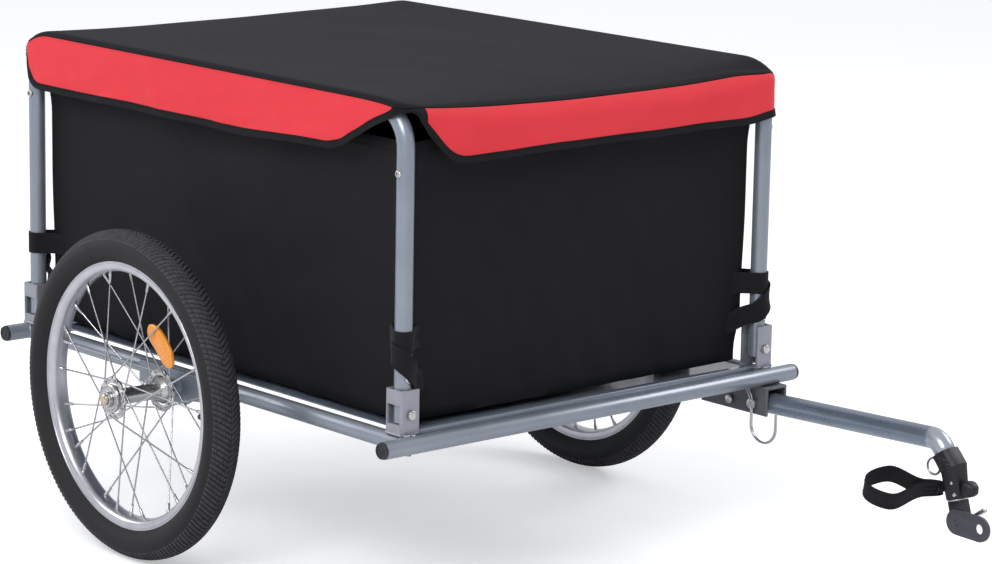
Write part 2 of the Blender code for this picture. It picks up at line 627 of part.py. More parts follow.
def make_wheel(side, root, finishes):
    """One wheel on its hub, all about the axle's line."""
    name = f"{side_name(side)}_wheel"
    spin = empty(f"{name}_spin", root, (0, 0, AXLE_Z))
    start = math.pi / 2

    def ring(profile, sides):
        return turned([(radius, side * along) for radius, along in profile], sides, start)

    bead = RIM_EDGE_RADIUS
    half = TYRE_WIDTH / 2
    middle = WHEEL_RADIUS - TYRE_HEIGHT / 2
    edge = RIM_WIDTH / 2
    seat = edge - 2 * RIM_FLANGE
    tyre = [(bead - BEAD_DEPTH, WHEEL_Y - seat), (bead + 2 * GAP, WHEEL_Y - seat),
            (bead + 2 * GAP, WHEEL_Y - edge - GAP), (middle, WHEEL_Y - half),
            (WHEEL_RADIUS - TYRE_SHOULDER_DROP * TYRE_HEIGHT, WHEEL_Y - half * TYRE_SHOULDER_SHARE),
            (WHEEL_RADIUS, WHEEL_Y - half * TYRE_CROWN_SHARE)]
    tyre += [(radius, 2 * WHEEL_Y - along) for radius, along in reversed(tyre)]
    put(f"{name}_tyre", ring(tyre, WHEEL_SIDES), finishes["tyre"], spin)
    well = bead - BEAD_DEPTH - 2 * GAP
    low = RIM_BORE_RADIUS
    rim = [(low, WHEEL_Y - edge * RIM_WELL_SHARE), (low + RIM_HEIGHT / 4, WHEEL_Y - edge),
           (bead, WHEEL_Y - edge), (bead, WHEEL_Y - edge + RIM_FLANGE),
           (well, WHEEL_Y - edge + RIM_FLANGE * RIM_TAPER)]
    rim += [(radius, 2 * WHEEL_Y - along) for radius, along in reversed(rim)]
    put(f"{name}_rim", ring(rim, WHEEL_SIDES), finishes["alloy"], spin)
    outer_face = OUTER_FLANGE_Y + FLANGE_THICKNESS
    seat = BEARING_RADIUS + GAP
    cup = seat + HUB_CUP_WALL
    bore = AXLE_RADIUS + 4 * GAP
    shell = [(bore, INNER_FLANGE_Y + FLANGE_THICKNESS + GAP), (seat, INNER_FLANGE_Y + FLANGE_THICKNESS + GAP),
             (seat, INNER_FLANGE_Y - HUB_CUP_INNER_LENGTH), (cup, INNER_FLANGE_Y - HUB_CUP_INNER_LENGTH),
             (cup, INNER_FLANGE_Y), (FLANGE_RADIUS, INNER_FLANGE_Y),
             (FLANGE_RADIUS, INNER_FLANGE_Y + FLANGE_THICKNESS), (cup, INNER_FLANGE_Y + FLANGE_THICKNESS),
             (BARREL_RADIUS, INNER_FLANGE_Y + 4 * FLANGE_THICKNESS),
             (BARREL_RADIUS, OUTER_FLANGE_Y - 3 * FLANGE_THICKNESS), (cup, OUTER_FLANGE_Y),
             (FLANGE_RADIUS, OUTER_FLANGE_Y), (FLANGE_RADIUS, outer_face), (cup, outer_face),
             (cup, OUTER_FLANGE_Y + HUB_CUP_OUTER_LENGTH), (seat, OUTER_FLANGE_Y + HUB_CUP_OUTER_LENGTH),
             (seat, OUTER_FLANGE_Y - GAP), (bore, OUTER_FLANGE_Y - GAP)]
    put(f"{name}_hub", ring(shell, HUB_SIDES), finishes["alloy"], spin)
    fit = AXLE_RADIUS + GAP
    inner_low = INNER_FLANGE_Y + FLANGE_THICKNESS - BEARING_WIDTH
    for place, low_y in (("inner", inner_low), ("outer", OUTER_FLANGE_Y)):
        race = [(fit, low_y), (BEARING_RADIUS, low_y), (BEARING_RADIUS, low_y + BEARING_WIDTH),
                (fit, low_y + BEARING_WIDTH)]
        put(f"{name}_{place}_bearing", ring(race, HUB_SIDES), finishes["steel"], spin)
    for place, hub_y in (("inner", INNER_FLANGE_Y + FLANGE_THICKNESS / 2),
                         ("outer", OUTER_FLANGE_Y + FLANGE_THICKNESS / 2)):
        make_spokes(f"{name}_{place}_spokes", finishes["steel"], spin, side, hub_y)
    hub_y = OUTER_FLANGE_Y + FLANGE_THICKNESS / 2
    spoke_y = hub_y + (spoke_rim_y(hub_y) - hub_y) * spoke_share(REFLECTOR_RADIUS + REFLECTOR_HEIGHT / 2)
    face = side * (spoke_y - SPOKE_RADIUS - SPOKE_CROSSING / 2 - GAP)
    outline = arc((0, 0), REFLECTOR_RADIUS + REFLECTOR_HEIGHT / 2,
                  -REFLECTOR_LENGTH / 2 / REFLECTOR_RADIUS, REFLECTOR_LENGTH / 2 / REFLECTOR_RADIUS, 6)
    outline += arc((0, 0), REFLECTOR_RADIUS - REFLECTOR_HEIGHT / 2,
                   REFLECTOR_LENGTH / 2 / REFLECTOR_RADIUS, -REFLECTOR_LENGTH / 2 / REFLECTOR_RADIUS, 6)
    lens = plate(outline, face, face - side * REFLECTOR_THICKNESS)
    put(f"{name}_reflector", lens, finishes["amber"], spin, (0, 0, 0), (0, -REFLECTOR_ANGLE, 0))
    stem = RIM_BORE_RADIUS * math.cos(math.pi / WHEEL_SIDES) - 2 * GAP
    valve = rod(VALVE_RADIUS, VALVE_TIP_RADIUS, stem, 12)
    put(f"{name}_valve", valve, finishes["plastic"], spin, (0, side * WHEEL_Y, 0), (0, 0, -math.pi / 2))


def make_axle(side, root, finishes):
    """The quick release axle slides out of its socket with the wheel on it."""
    name = side_name(side)
    slide = empty(f"{name}_axle_slide", root, (0, 0, AXLE_Z))
    hole = BUTTON_RADIUS + GAP
    head_end = AXLE_HEAD_Y + AXLE_HEAD_LENGTH
    floor = head_end - BUTTON_DEPTH
    bore = BUTTON_RADIUS * BUTTON_BORE_SHARE
    axle = [(0, SOCKET_INNER_Y + GAP), (AXLE_RADIUS, SOCKET_INNER_Y + GAP), (AXLE_RADIUS, AXLE_HEAD_Y),
            (AXLE_HEAD_RADIUS, AXLE_HEAD_Y), (AXLE_HEAD_RADIUS, head_end), (hole, head_end),
            (hole, AXLE_HEAD_Y + GAP), (bore + GAP, AXLE_HEAD_Y + GAP), (bore + GAP, floor), (0, floor)]
    shape = turned([(radius, side * along) for radius, along in axle], HUB_SIDES)
    put(f"{name}_axle", shape, finishes["steel"], slide)
    seat = AXLE_HEAD_Y + GAP + BUTTON_TRAVEL + GAP
    top = head_end + BUTTON_LENGTH
    button = [(0, floor + BUTTON_TRAVEL + GAP), (bore, floor + BUTTON_TRAVEL + GAP), (bore, seat),
              (BUTTON_RADIUS, seat), (BUTTON_RADIUS, top - 2 * EDGE_CHAMFER),
              (BUTTON_RADIUS * BUTTON_DOME_SHARE, top - EDGE_CHAMFER / 2), (0, top)]
    shape = turned([(radius, side * along) for radius, along in button], 20)
    put(f"{name}_release_button", shape, finishes["zinc"], slide)


def make_drawbar_bracket(root, finishes):
    outline = [(-CHANNEL_HALF_WIDTH, CHANNEL_BOTTOM_Z), (-CHANNEL_HALF_WIDTH, CHANNEL_TOP_Z),
               (CHANNEL_HALF_WIDTH, CHANNEL_TOP_Z), (CHANNEL_HALF_WIDTH, CHANNEL_BOTTOM_Z),
               (CHANNEL_HALF_GAP, CHANNEL_BOTTOM_Z), (CHANNEL_HALF_GAP, CHANNEL_TOP_Z - CHANNEL_WALL),
               (-CHANNEL_HALF_GAP, CHANNEL_TOP_Z - CHANNEL_WALL), (-CHANNEL_HALF_GAP, CHANNEL_BOTTOM_Z)]
    outline = [(RAIL_Y + across, z) for across, z in outline]
    shape = plate(outline, CHANNEL_REAR_X, CHANNEL_FRONT_X, "X")
    bracket = put("drawbar_bracket", shape, finishes["channel"], root)
    reach = CHANNEL_HALF_WIDTH + GAP
    pin_z = BAR_PIVOT_Z + PIN_REACH * math.tan(BAR_RISE)
    for name, x, z, radius in (("pivot_hole", BAR_PIVOT_X, BAR_PIVOT_Z, BOLT_RADIUS + GAP),
                               ("pin_hole", PIN_X, pin_z, PIN_RADIUS + GAP)):
        tool = cutter(name, rod(radius, -2 * reach, 2 * reach, 16), root, (x, RAIL_Y, z))
        cut(bracket, tool)
    bolt = [(0, -reach - BOLT_HEAD_LENGTH), (BOLT_HEAD_RADIUS, -reach - BOLT_HEAD_LENGTH),
            (BOLT_HEAD_RADIUS, -reach), (BOLT_RADIUS, -reach), (BOLT_RADIUS, reach), (BOLT_HEAD_RADIUS, reach),
            (BOLT_HEAD_RADIUS, reach + BOLT_HEAD_LENGTH), (0, reach + BOLT_HEAD_LENGTH)]
    put("drawbar_pivot_bolt", turned(bolt, 12), finishes["zinc"], root, (BAR_PIVOT_X, RAIL_Y, BAR_PIVOT_Z))
    return pin_z


def make_lock_pin(root, finishes, pin_z):
    """The pin through the bracket and the bar. Its wire bail hangs from a slot in the pin's head."""
    slide = empty("lock_pin_slide", root, (PIN_X, RAIL_Y, pin_z))
    face = -CHANNEL_HALF_WIDTH - GAP
    ear = face - PIN_HEAD_LENGTH / 2
    pin = [(0, face - PIN_HEAD_LENGTH), (PIN_HEAD_RADIUS, face - PIN_HEAD_LENGTH), (PIN_HEAD_RADIUS, face),
           (PIN_RADIUS, face), (PIN_RADIUS, -face + PIN_TIP - 2 * EDGE_CHAMFER),
           (PIN_RADIUS * PIN_TIP_SHARE, -face + PIN_TIP),
           (0, -face + PIN_TIP)]
    pin = put("lock_pin", turned(pin, 16), finishes["zinc"], slide)
    wire = BAIL_WIRE_RADIUS
    low = (-wire - GAP, face - 2 * PIN_HEAD_LENGTH, -2 * PIN_HEAD_RADIUS)
    high = (wire + GAP, ear + wire + GAP, wire + PIN_HEAD_LENGTH * BAIL_OVERSWING + 2 * GAP)
    cut(pin, cutter("bail_slot", box(low, high), slide))
    hinge = empty("lock_pin_bail_hinge", slide, (0, ear, 0))
    half = BAIL_WIDTH / 2
    centre = (half, BAIL_BOTTOM_Z - pin_z + wire + half)
    curve = arc(centre, half, math.pi, 2 * math.pi, 10)
    line = [(0, 0)] + curve + [(BAIL_WIDTH, BAIL_END_Z - pin_z)]
    path = [(x, 0, z) for x, z in line]
    put("lock_pin_bail", swept(path, wire, 8), finishes["zinc"], hinge)


def loft(sections):
    """A solid through sections of equal point counts."""
    mesh = bmesh.new()
    rings = [ring_of(mesh, points) for points in sections]
    for first, second in zip(rings, rings[1:]):
        bridge(mesh, first, second)
    mesh.faces.new(rings[0])
    mesh.faces.new(rings[-1])
    return mesh


def soft_square(centre, tilt, half, sides=16):
    """A square with round corners. Its normal leans from straight down towards +X by the tilt."""
    along = Vector((math.cos(tilt), 0, math.sin(tilt)))
    points = []
    for step in range(sides):
        a = 2 * math.pi * (step + 0.5) / sides
        reach = half / (abs(math.cos(a)) ** 4 + abs(math.sin(a)) ** 4) ** 0.25
        points.append(Vector(centre) + along * (reach * math.cos(a)) + Vector((0, reach * math.sin(a), 0)))
    return points


def make_drawbar(root, finishes):
    """The bar under its pivot empty, and the empty at the middle of its lower end."""
    pivot = empty("drawbar_pivot", root, (BAR_PIVOT_X, RAIL_Y, BAR_PIVOT_Z), (0, -BAR_RISE, 0))
    tangent = BAR_BEND_RADIUS * math.tan(BAR_BEND / 2)
    bend = arc((BAR_CORNER - tangent, -BAR_BEND_RADIUS), BAR_BEND_RADIUS,
               math.pi / 2, math.pi / 2 - BAR_BEND, 6)
    reach = tangent + BAR_END_STRAIGHT
    end = (BAR_CORNER + reach * math.cos(BAR_BEND), -reach * math.sin(BAR_BEND))
    path = [(x, 0, z) for x, z in [(-BAR_TAIL, 0)] + bend + [end]]
    bar = put("drawbar", swept(path, BAR_RADIUS, 16, BAR_RADIUS - BAR_WALL), finishes["bar"], pivot)
    wide = 2 * BAR_RADIUS
    cut(bar, cutter("drawbar_pivot_hole", rod(BOLT_RADIUS + GAP, -wide, wide, 16), pivot))
    hole = PIN_RADIUS + PIN_PLAY
    place = PIN_REACH / math.cos(BAR_RISE)
    lean = place - math.sqrt(place ** 2 - BAR_RADIUS ** 2)
    slot = arc((place, 0), hole, math.pi, 2 * math.pi, 8)
    slot += [(place + hole, wide), (place - hole - lean, wide), (place - hole - lean, BAR_RADIUS)]
    cut(bar, cutter("drawbar_pin_slot", plate(slot, -wide, wide), pivot))
    tip = empty("drawbar_tip", pivot, (end[0], 0, end[1]), (0, BAR_RISE, 0))
    return tip


def make_coupler(tip, finishes):
    """The block on the bar's end, the washer under it, the link, the strap and its buckle."""
    slope = math.pi / 2 - (BAR_BEND - BAR_RISE)
    top = (GAP * math.sin(slope), 0, -GAP * math.cos(slope))
    waist = (COUPLER_WAIST_LEAN, 0, -COUPLER_WAIST_DROP)
    bottom = (COUPLER_LEAN, 0, -COUPLER_DROP)
    sections = [soft_square(top, slope, COUPLER_TOP_HALF), soft_square(waist, slope, COUPLER_WAIST_HALF),
                soft_square(bottom, LEG_TILT, COUPLER_BOTTOM_HALF)]
    block = put("coupler_block", loft(sections), finishes["plastic"], tip)
    down = empty("coupler_foot", tip, bottom, (0, -LEG_TILT, 0))
    upright = (math.pi / 2, 0, 0)
    bore = rod(STUD_RADIUS + GAP, -STUD_LENGTH, STUD_LENGTH + GAP, 20)
    cut(block, cutter("stud_bore", bore, down, (0, 0, 0), upright))
    washer = sleeve(STUD_RADIUS + GAP, WASHER_RADIUS, -GAP - WASHER_THICKNESS, -GAP)
    put("swivel_washer", washer, finishes["zinc"], down, (0, 0, 0), upright)
    ring = arc((0, 0), LINK_RADIUS, 0, 2 * math.pi, 16)[:-1]
    mesh = bmesh.new()
    loops = []
    circle = [2 * math.pi * turn / LINK_WIRE_SIDES for turn in range(LINK_WIRE_SIDES)]
    for x, z in ring:
        outward = Vector((x, 0, z)).normalized()
        around = [outward * math.cos(a) + Vector((0, math.sin(a), 0)) for a in circle]
        loops.append(ring_of(mesh, [Vector((x, 0, z)) + turn * LINK_WIRE_RADIUS for turn in around]))
    for step, loop in enumerate(loops):
        bridge(mesh, loop, loops[(step + 1) % len(loops)])
    back_high = Vector((-COUPLER_TOP_HALF * math.cos(slope), -COUPLER_TOP_HALF * math.sin(slope)))
    back_low = Vector((COUPLER_WAIST_LEAN - COUPLER_WAIST_HALF * math.cos(slope),
                       -COUPLER_WAIST_DROP - COUPLER_WAIST_HALF * math.sin(slope)))
    fall = (back_low - back_high).normalized()
    off = Vector((fall.y, -fall.x)) * (LINK_RADIUS + LINK_WIRE_RADIUS + 2 * GAP)
    spot = back_high.lerp(back_low, LINK_SHARE) + off
    put("strap_link", mesh, finishes["zinc"], tip, (spot.x, 0, spot.y))
    high = Vector((COUPLER_WAIST_LEAN + COUPLER_WAIST_HALF * math.cos(slope),
                   -COUPLER_WAIST_DROP + COUPLER_WAIST_HALF * math.sin(slope)))
    low = Vector((COUPLER_LEAN + COUPLER_BOTTOM_HALF * math.cos(LEG_TILT),
                  -COUPLER_DROP + COUPLER_BOTTOM_HALF * math.sin(LEG_TILT)))
    share = (high.y + BUCKLE_DROP + BUCKLE_SEAT_SHARE * BUCKLE_HALF) / (high.y - low.y)
    face = high.lerp(low, share).x + 2 * GAP
    back = face - 2 * COUPLER_BOTTOM_HALF - 12 * GAP
    sections = [[(face + depth, y * size, z * size - BUCKLE_DROP) for y, z in
                 ((-BUCKLE_HALF, -BUCKLE_HALF), (BUCKLE_HALF, -BUCKLE_HALF), (BUCKLE_HALF, BUCKLE_HALF),
                  (-BUCKLE_HALF, BUCKLE_HALF))]
                for depth, size in ((0, BUCKLE_SEAT_SHARE), (BUCKLE_LENGTH * BUCKLE_BULGE_SHARE, 1.0),
                                    (BUCKLE_LENGTH, BUCKLE_TIP_SHARE))]
    put("strap_buckle", loft(sections), finishes["plastic"], tip)
    make_safety_strap(tip, finishes, back)
    return down


def make_safety_strap(tip, finishes, back):
    """A webbing loop that stands out behind the coupler, wide face leaning upwards."""
    away = Vector((math.cos(SAFETY_STRAP_HEADING), math.sin(SAFETY_STRAP_HEADING), 0))
    level = Vector((-away.y, away.x, 0))
    wide = Vector((0, 0, math.cos(SAFETY_STRAP_LEAN))) + level * math.sin(SAFETY_STRAP_LEAN)
    across = wide.cross(away)
    root = Vector((back - SAFETY_STRAP_SETBACK, -COUPLER_BOTTOM_HALF / 2, -SAFETY_STRAP_DROP))
    half = SAFETY_STRAP_LENGTH / 2
    mesh = bmesh.new()
    rings = []
    thick = SAFETY_STRAP_THICKNESS
    for inset, height in ((0, -1 / 2), (thick, -1 / 2), (thick, 1 / 2), (0, 1 / 2)):
        points = []
        for step in range(SAFETY_STRAP_SIDES):
            a = 2 * math.pi * step / SAFETY_STRAP_SIDES
            out = away * (half + (half - inset) * math.cos(a))
            aside = across * ((SAFETY_STRAP_HALF - inset) * math.sin(a))
            points.append(root + out + aside + wide * (height * SAFETY_STRAP_WIDTH))
        rings.append(ring_of(mesh, points))
    for index, ring in enumerate(rings):
        bridge(mesh, ring, rings[(index + 1) % len(rings)])
    put("safety_strap", mesh, finishes["webbing"], tip)


def make_hitch(down, finishes):
    """The leg that turns under the coupler, the plate pinned to its side and the bent pin through both."""
    upright = (math.pi / 2, 0, 0)
    top = -LEG_TOP_DROP
    outline = [(LEG_HALF_WIDTH, top), (-LEG_HALF_WIDTH, top)]
    outline += arc((0, -LEG_PIN_DROP), LEG_HALF_WIDTH, math.pi, 2 * math.pi, 10)
    half = LEG_THICKNESS / 2
    leg = put("hitch_leg", plate(outline, -half, half), finishes["plastic"], down)
    stud = rod(STUD_RADIUS, top - GAP - half, STUD_LENGTH - GAP, 20)
    cut(leg, cutter("leg_stud", stud, down, (0, 0, 0), upright), "UNION")
    pin = empty("hitch_pin_axis", down, (0, 0, -LEG_PIN_DROP), (0, LEG_TILT, 0))
    hole = rod(HITCH_PIN_RADIUS + GAP, -2 * LEG_THICKNESS, 2 * LEG_THICKNESS, 16)
    cut(leg, cutter("hitch_leg_hole", hole, pin))
    near = -half - GAP
    tilt = -HITCH_PLATE_DROP
    end = (HITCH_PLATE_REACH * math.cos(tilt), HITCH_PLATE_REACH * math.sin(tilt))
    outline = arc((0, 0), HITCH_PLATE_HALF_HEIGHT, tilt + math.pi / 2, tilt + 1.5 * math.pi, 12)
    outline += arc(end, HITCH_PLATE_HALF_HEIGHT, tilt - math.pi / 2, tilt + math.pi / 2, 12)
    flat = put("hitch_plate", plate(outline, near - HITCH_PLATE_THICKNESS, near), finishes["hitch"], pin)
    cut(flat, cutter("hitch_plate_pin_hole", cross_hole(2 * LEG_THICKNESS, HITCH_PIN_RADIUS + GAP), pin))
    axle_hole = cross_hole(2 * LEG_THICKNESS, AXLE_HOLE_RADIUS)
    cut(flat, cutter("axle_hole", axle_hole, pin, (end[0], 0, end[1])))
    shoulder = half + HITCH_PIN_SHOULDER
    rise = (math.cos(HITCH_HANDLE_RISE), math.sin(HITCH_HANDLE_RISE))
    bend = arc((HITCH_PIN_SHOULDER, shoulder - HITCH_PIN_SHOULDER / 2), HITCH_PIN_SHOULDER,
               math.pi, math.pi / 2, 5)
    line = [(0, near - HITCH_PLATE_THICKNESS + GAP)] + bend + [(HITCH_HANDLE_LENGTH, bend[-1][1])]
    path = [(out * rise[0], y, out * rise[1]) for out, y in line]
    side = Vector((-rise[1], 0, rise[0]))
    put("hitch_pin", swept(path, HITCH_PIN_RADIUS, 12, side=side), finishes["zinc"], pin)


def cross_hole(reach, radius):
    return rod(radius, -reach, reach, 20)


def whole_middle():
    """Half way between the rear of the rear tube and the front of the hitch plate."""
    tangent = BAR_BEND_RADIUS * math.tan(BAR_BEND / 2) + BAR_END_STRAIGHT
    lean = BAR_BEND - BAR_RISE
    tip_x = BAR_PIVOT_X + BAR_CORNER * math.cos(BAR_RISE) + tangent * math.cos(lean)
    pin_x = tip_x + COUPLER_LEAN + LEG_PIN_DROP * math.sin(LEG_TILT)
    front = pin_x + HITCH_PLATE_REACH * math.cos(HITCH_PLATE_DROP) + HITCH_PLATE_HALF_HEIGHT
    rear = REAR_TUBE_X - TUBE_RADIUS
    return (front + rear) / 2


def build_trailer():
    remove_objects()
    finishes = make_finishes()
    root = empty("trailer", None, (-whole_middle(), 0, 0))
    make_cross_tubes(root, finishes)
    make_side_rails(root, finishes)
    make_floor_panel(root, finishes)
    make_axle_brackets(root, finishes)
    make_feet(root, finishes)
    make_hoops(root, finishes)
    make_bag(root, finishes)
    make_cover(root, finishes)
    for side in (1, -1):
        make_wheel(side, root, finishes)
        make_axle(side, root, finishes)
    pin_z = make_drawbar_bracket(root, finishes)
    make_lock_pin(root, finishes, pin_z)
    tip = make_drawbar(root, finishes)
    down = make_coupler(tip, finishes)
    make_hitch(down, finishes)


build_trailer()
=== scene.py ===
"""Looks of the bicycle cargo trailer: finishes, tyres, spokes, the sewn bag and cover, straps and hitch."""

from math import acos, copysign, cos, exp, hypot, pi, radians, sin, sqrt, tau

import bmesh
import bpy
from mathutils import Matrix, Vector


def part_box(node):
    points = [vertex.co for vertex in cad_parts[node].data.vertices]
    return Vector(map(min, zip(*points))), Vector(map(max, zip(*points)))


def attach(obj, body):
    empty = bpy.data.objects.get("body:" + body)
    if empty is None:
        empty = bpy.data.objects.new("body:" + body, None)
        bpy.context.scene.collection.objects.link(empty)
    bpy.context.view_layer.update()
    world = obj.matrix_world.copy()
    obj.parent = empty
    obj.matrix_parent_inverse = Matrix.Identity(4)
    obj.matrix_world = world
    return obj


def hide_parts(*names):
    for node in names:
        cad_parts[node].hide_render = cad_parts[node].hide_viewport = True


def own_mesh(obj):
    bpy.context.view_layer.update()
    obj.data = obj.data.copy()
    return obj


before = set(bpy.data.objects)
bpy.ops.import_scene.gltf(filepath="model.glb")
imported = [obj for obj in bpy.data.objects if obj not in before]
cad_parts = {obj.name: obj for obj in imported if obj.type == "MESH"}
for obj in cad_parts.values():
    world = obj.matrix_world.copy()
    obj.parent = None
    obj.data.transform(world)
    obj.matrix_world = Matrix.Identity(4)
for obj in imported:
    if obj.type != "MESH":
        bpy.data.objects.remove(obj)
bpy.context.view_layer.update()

# Places read from the frame
FORWARD, LEFT, UP = Vector((1, 0, 0)), Vector((0, 1, 0)), Vector((0, 0, 1))


def low_high(node):
    low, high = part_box(node)
    return Vector(low), Vector(high)


WHEEL_LOW, WHEEL_HIGH = low_high("left_wheel_tyre")
AXLE_X = (WHEEL_LOW.x + WHEEL_HIGH.x) / 2
AXLE_Z = (WHEEL_LOW.z + WHEEL_HIGH.z) / 2
WHEEL_Y = (WHEEL_LOW.y + WHEEL_HIGH.y) / 2
WHEEL_RADIUS = (WHEEL_HIGH.x - WHEEL_LOW.x) / 2
TYRE_WIDTH = WHEEL_HIGH.y - WHEEL_LOW.y
HOOP_LOW, HOOP_HIGH = low_high("left_hoop")
POST_Y = (HOOP_LOW.y + HOOP_HIGH.y) / 2
TUBE_RADIUS = (HOOP_HIGH.y - HOOP_LOW.y) / 2
FRONT_POST_X = HOOP_HIGH.x - TUBE_RADIUS
REAR_POST_X = HOOP_LOW.x + TUBE_RADIUS
HOOP_TOP_Z = HOOP_HIGH.z - TUBE_RADIUS
BAG_FLOOR_Z = low_high("cargo_bag")[0].z
SIDES = {"right": -1, "left": 1}

# Camera, floor and light
CAMERA_FROM_AXLE = (3.2671, -2.669, 1.1554)
CAMERA_YAW, CAMERA_PITCH, CAMERA_ROLL = (radians(a) for a in (138.83, -11.48, 1.0))
FOCAL_PIXELS = 3498.1
PRINCIPAL_PIXEL = (485.4, 274.6)
IMAGE_WIDTH, IMAGE_HEIGHT = 992, 564
FLOOR_REACH = 14
LAMP_TARGET = Vector((0, 0, 0.3))
LAMPS = {"key_lamp": ((1.6, -2.6, 2.6), (1.8, 1.4), 62), "side_lamp": ((-2.4, -1.8, 1.8), (1.6, 1.6), 26),
         "back_lamp": ((0.8, 2.8, 2.2), (2.0, 1.2), 34)}


def show(name, data):
    """A new object in the scene."""
    thing = bpy.data.objects.new(name, data)
    bpy.context.scene.collection.objects.link(thing)
    return thing


def make_camera():
    """The camera stands where the two wheels and the frame put it in the photograph."""
    forward = Vector((cos(CAMERA_YAW) * cos(CAMERA_PITCH), sin(CAMERA_YAW) * cos(CAMERA_PITCH), sin(CAMERA_PITCH)))
    right = Vector((sin(CAMERA_YAW), -cos(CAMERA_YAW), 0))
    up = right.cross(forward)
    turned_right = cos(CAMERA_ROLL) * right + sin(CAMERA_ROLL) * up
    turned_up = -sin(CAMERA_ROLL) * right + cos(CAMERA_ROLL) * up
    data = bpy.data.cameras.new("camera")
    data.sensor_width = 36
    data.lens = FOCAL_PIXELS / IMAGE_WIDTH * data.sensor_width
    data.shift_x = 0.5 - PRINCIPAL_PIXEL[0] / IMAGE_WIDTH
    data.shift_y = (PRINCIPAL_PIXEL[1] - IMAGE_HEIGHT / 2) / IMAGE_WIDTH
    data.clip_end = 60
    camera = show("camera", data)
    turn = Matrix((turned_right, turned_up, -forward)).transposed().to_4x4()
    camera.matrix_world = Matrix.Translation(Vector(CAMERA_FROM_AXLE) + Vector((AXLE_X, 0, 0))) @ turn
    bpy.context.scene.camera = camera


def join(tree, node, inputs):
    """Give a node's inputs their values. Each value is plain or another node's output."""
    for label, value in inputs.items():
        if isinstance(value, bpy.types.NodeSocket):
            tree.links.new(value, node.inputs[label])
        else:
            node.inputs[label].default_value = value


def add(tree, kind, inputs, output=0, **settings):
    """A new node's output. Inputs go by name or number, and settings are the node's own."""
    node = tree.nodes.new(kind)
    for label, value in settings.items():
        setattr(node, label, value)
    join(tree, node, inputs)
    return node.outputs[output]


def make_stage():
    """A pale floor with a soft shadow, a white surround and three soft lamps."""
    mesh = bpy.data.meshes.new("floor")
    corners = [(x * FLOOR_REACH, y * FLOOR_REACH, 0) for x, y in ((-1, -1), (1, -1), (1, 1), (-1, 1))]
    mesh.from_pydata(corners, [], [(0, 1, 2, 3)])
    material = bpy.data.materials.new("pale_floor")
    material.use_nodes = True
    tree = material.node_tree
    seen = add(tree, "ShaderNodeLightPath", {}, "Is Camera Ray")
    glow = add(tree, "ShaderNodeMath", {0: seen, 1: 0.40}, operation="MULTIPLY")
    join(tree, tree.nodes["Principled BSDF"], {
        "Base Color": (0.86, 0.86, 0.87, 1), "Roughness": 0.9, "Specular IOR Level": 0.1,
        "Emission Color": (1, 1, 1, 1), "Emission Strength": glow})
    mesh.materials.append(material)
    show("floor", mesh)
    world = bpy.data.worlds.new("surround")
    bpy.context.scene.world = world
    world.use_nodes = True
    tree = world.node_tree
    seen = add(tree, "ShaderNodeLightPath", {}, "Is Camera Ray")
    join(tree, tree.nodes["Background"],
         {"Color": (0.95, 0.97, 1.0, 1), "Strength": ranged(tree, seen, 0.62, 1.05)})
    for name, (place_at, size, power) in LAMPS.items():
        data = bpy.data.lights.new(name, "AREA")
        data.shape = "RECTANGLE"
        data.size, data.size_y = size
        data.energy = power
        lamp = show(name, data)
        lamp.location = place_at
        lamp.rotation_euler = (LAMP_TARGET - Vector(place_at)).to_track_quat("-Z", "Y").to_euler()
    bpy.context.scene.view_settings.view_transform = "Standard"


# Shader groups
def new_group(name, kind, inputs, outputs):
    """A node group with the outputs of its input node and its output node. A socket is (kind, start value)."""
    tree = bpy.data.node_groups.new(name, kind)
    for in_out, sockets in (("INPUT", inputs), ("OUTPUT", outputs)):
        for label, (what, value) in sockets.items():
            item = tree.interface.new_socket(label, in_out=in_out, socket_type=f"NodeSocket{what}")
            if value is not None:
                item.default_value = value
    return tree, tree.nodes.new("NodeGroupInput").outputs, tree.nodes.new("NodeGroupOutput")


def math_node(tree, operation, first, second):
    return add(tree, "ShaderNodeMath", {0: first, 1: second}, operation=operation)


def ranged(tree, value, low, high):
    return add(tree, "ShaderNodeMapRange", {"To Min": low, "To Max": high, "Value": value}, "Result")


def mixed(tree, factor, first, second):
    """Colour between two, by a mask."""
    return add(tree, "ShaderNodeMix", {"Factor": factor, 6: first, 7: second}, 2, data_type="RGBA")


def speckle_group():
    """Small uneven tone and grain for paint, metal and plastic."""
    tree, source, sink = new_group(
        "speckle", "ShaderNodeTree", {"Scale": ("Float", 60.0), "Fine Scale": ("Float", 900.0)},
        {"Tone": ("Float", None), "Grain": ("Float", None)})
    point = add(tree, "ShaderNodeTexCoord", {}, "Object")
    for label, size, detail in (("Tone", "Scale", 4.0), ("Grain", "Fine Scale", 2.0)):
        noise = {"Vector": point, "Scale": source[size], "Detail": detail}
        join(tree, sink, {label: add(tree, "ShaderNodeTexNoise", noise, "Fac")})
    return tree


def edge_wear_group():
    """A mask that rises on the outer edges of a piece, broken up by noise."""
    tree, source, sink = new_group("edge_wear", "ShaderNodeTree", {"Sharpness": ("Float", 14.0)},
                                   {"Mask": ("Float", None)})
    point = add(tree, "ShaderNodeTexCoord", {}, "Object")
    noise = add(tree, "ShaderNodeTexNoise", {"Scale": 140.0, "Vector": point}, "Fac")
    lift = math_node(tree, "SUBTRACT", add(tree, "ShaderNodeNewGeometry", {}, "Pointiness"), 0.53)
    broken = math_node(tree, "MULTIPLY", math_node(tree, "MULTIPLY", lift, source["Sharpness"]), noise)
    join(tree, sink, {"Mask": add(tree, "ShaderNodeClamp", {"Value": broken})})
    return tree


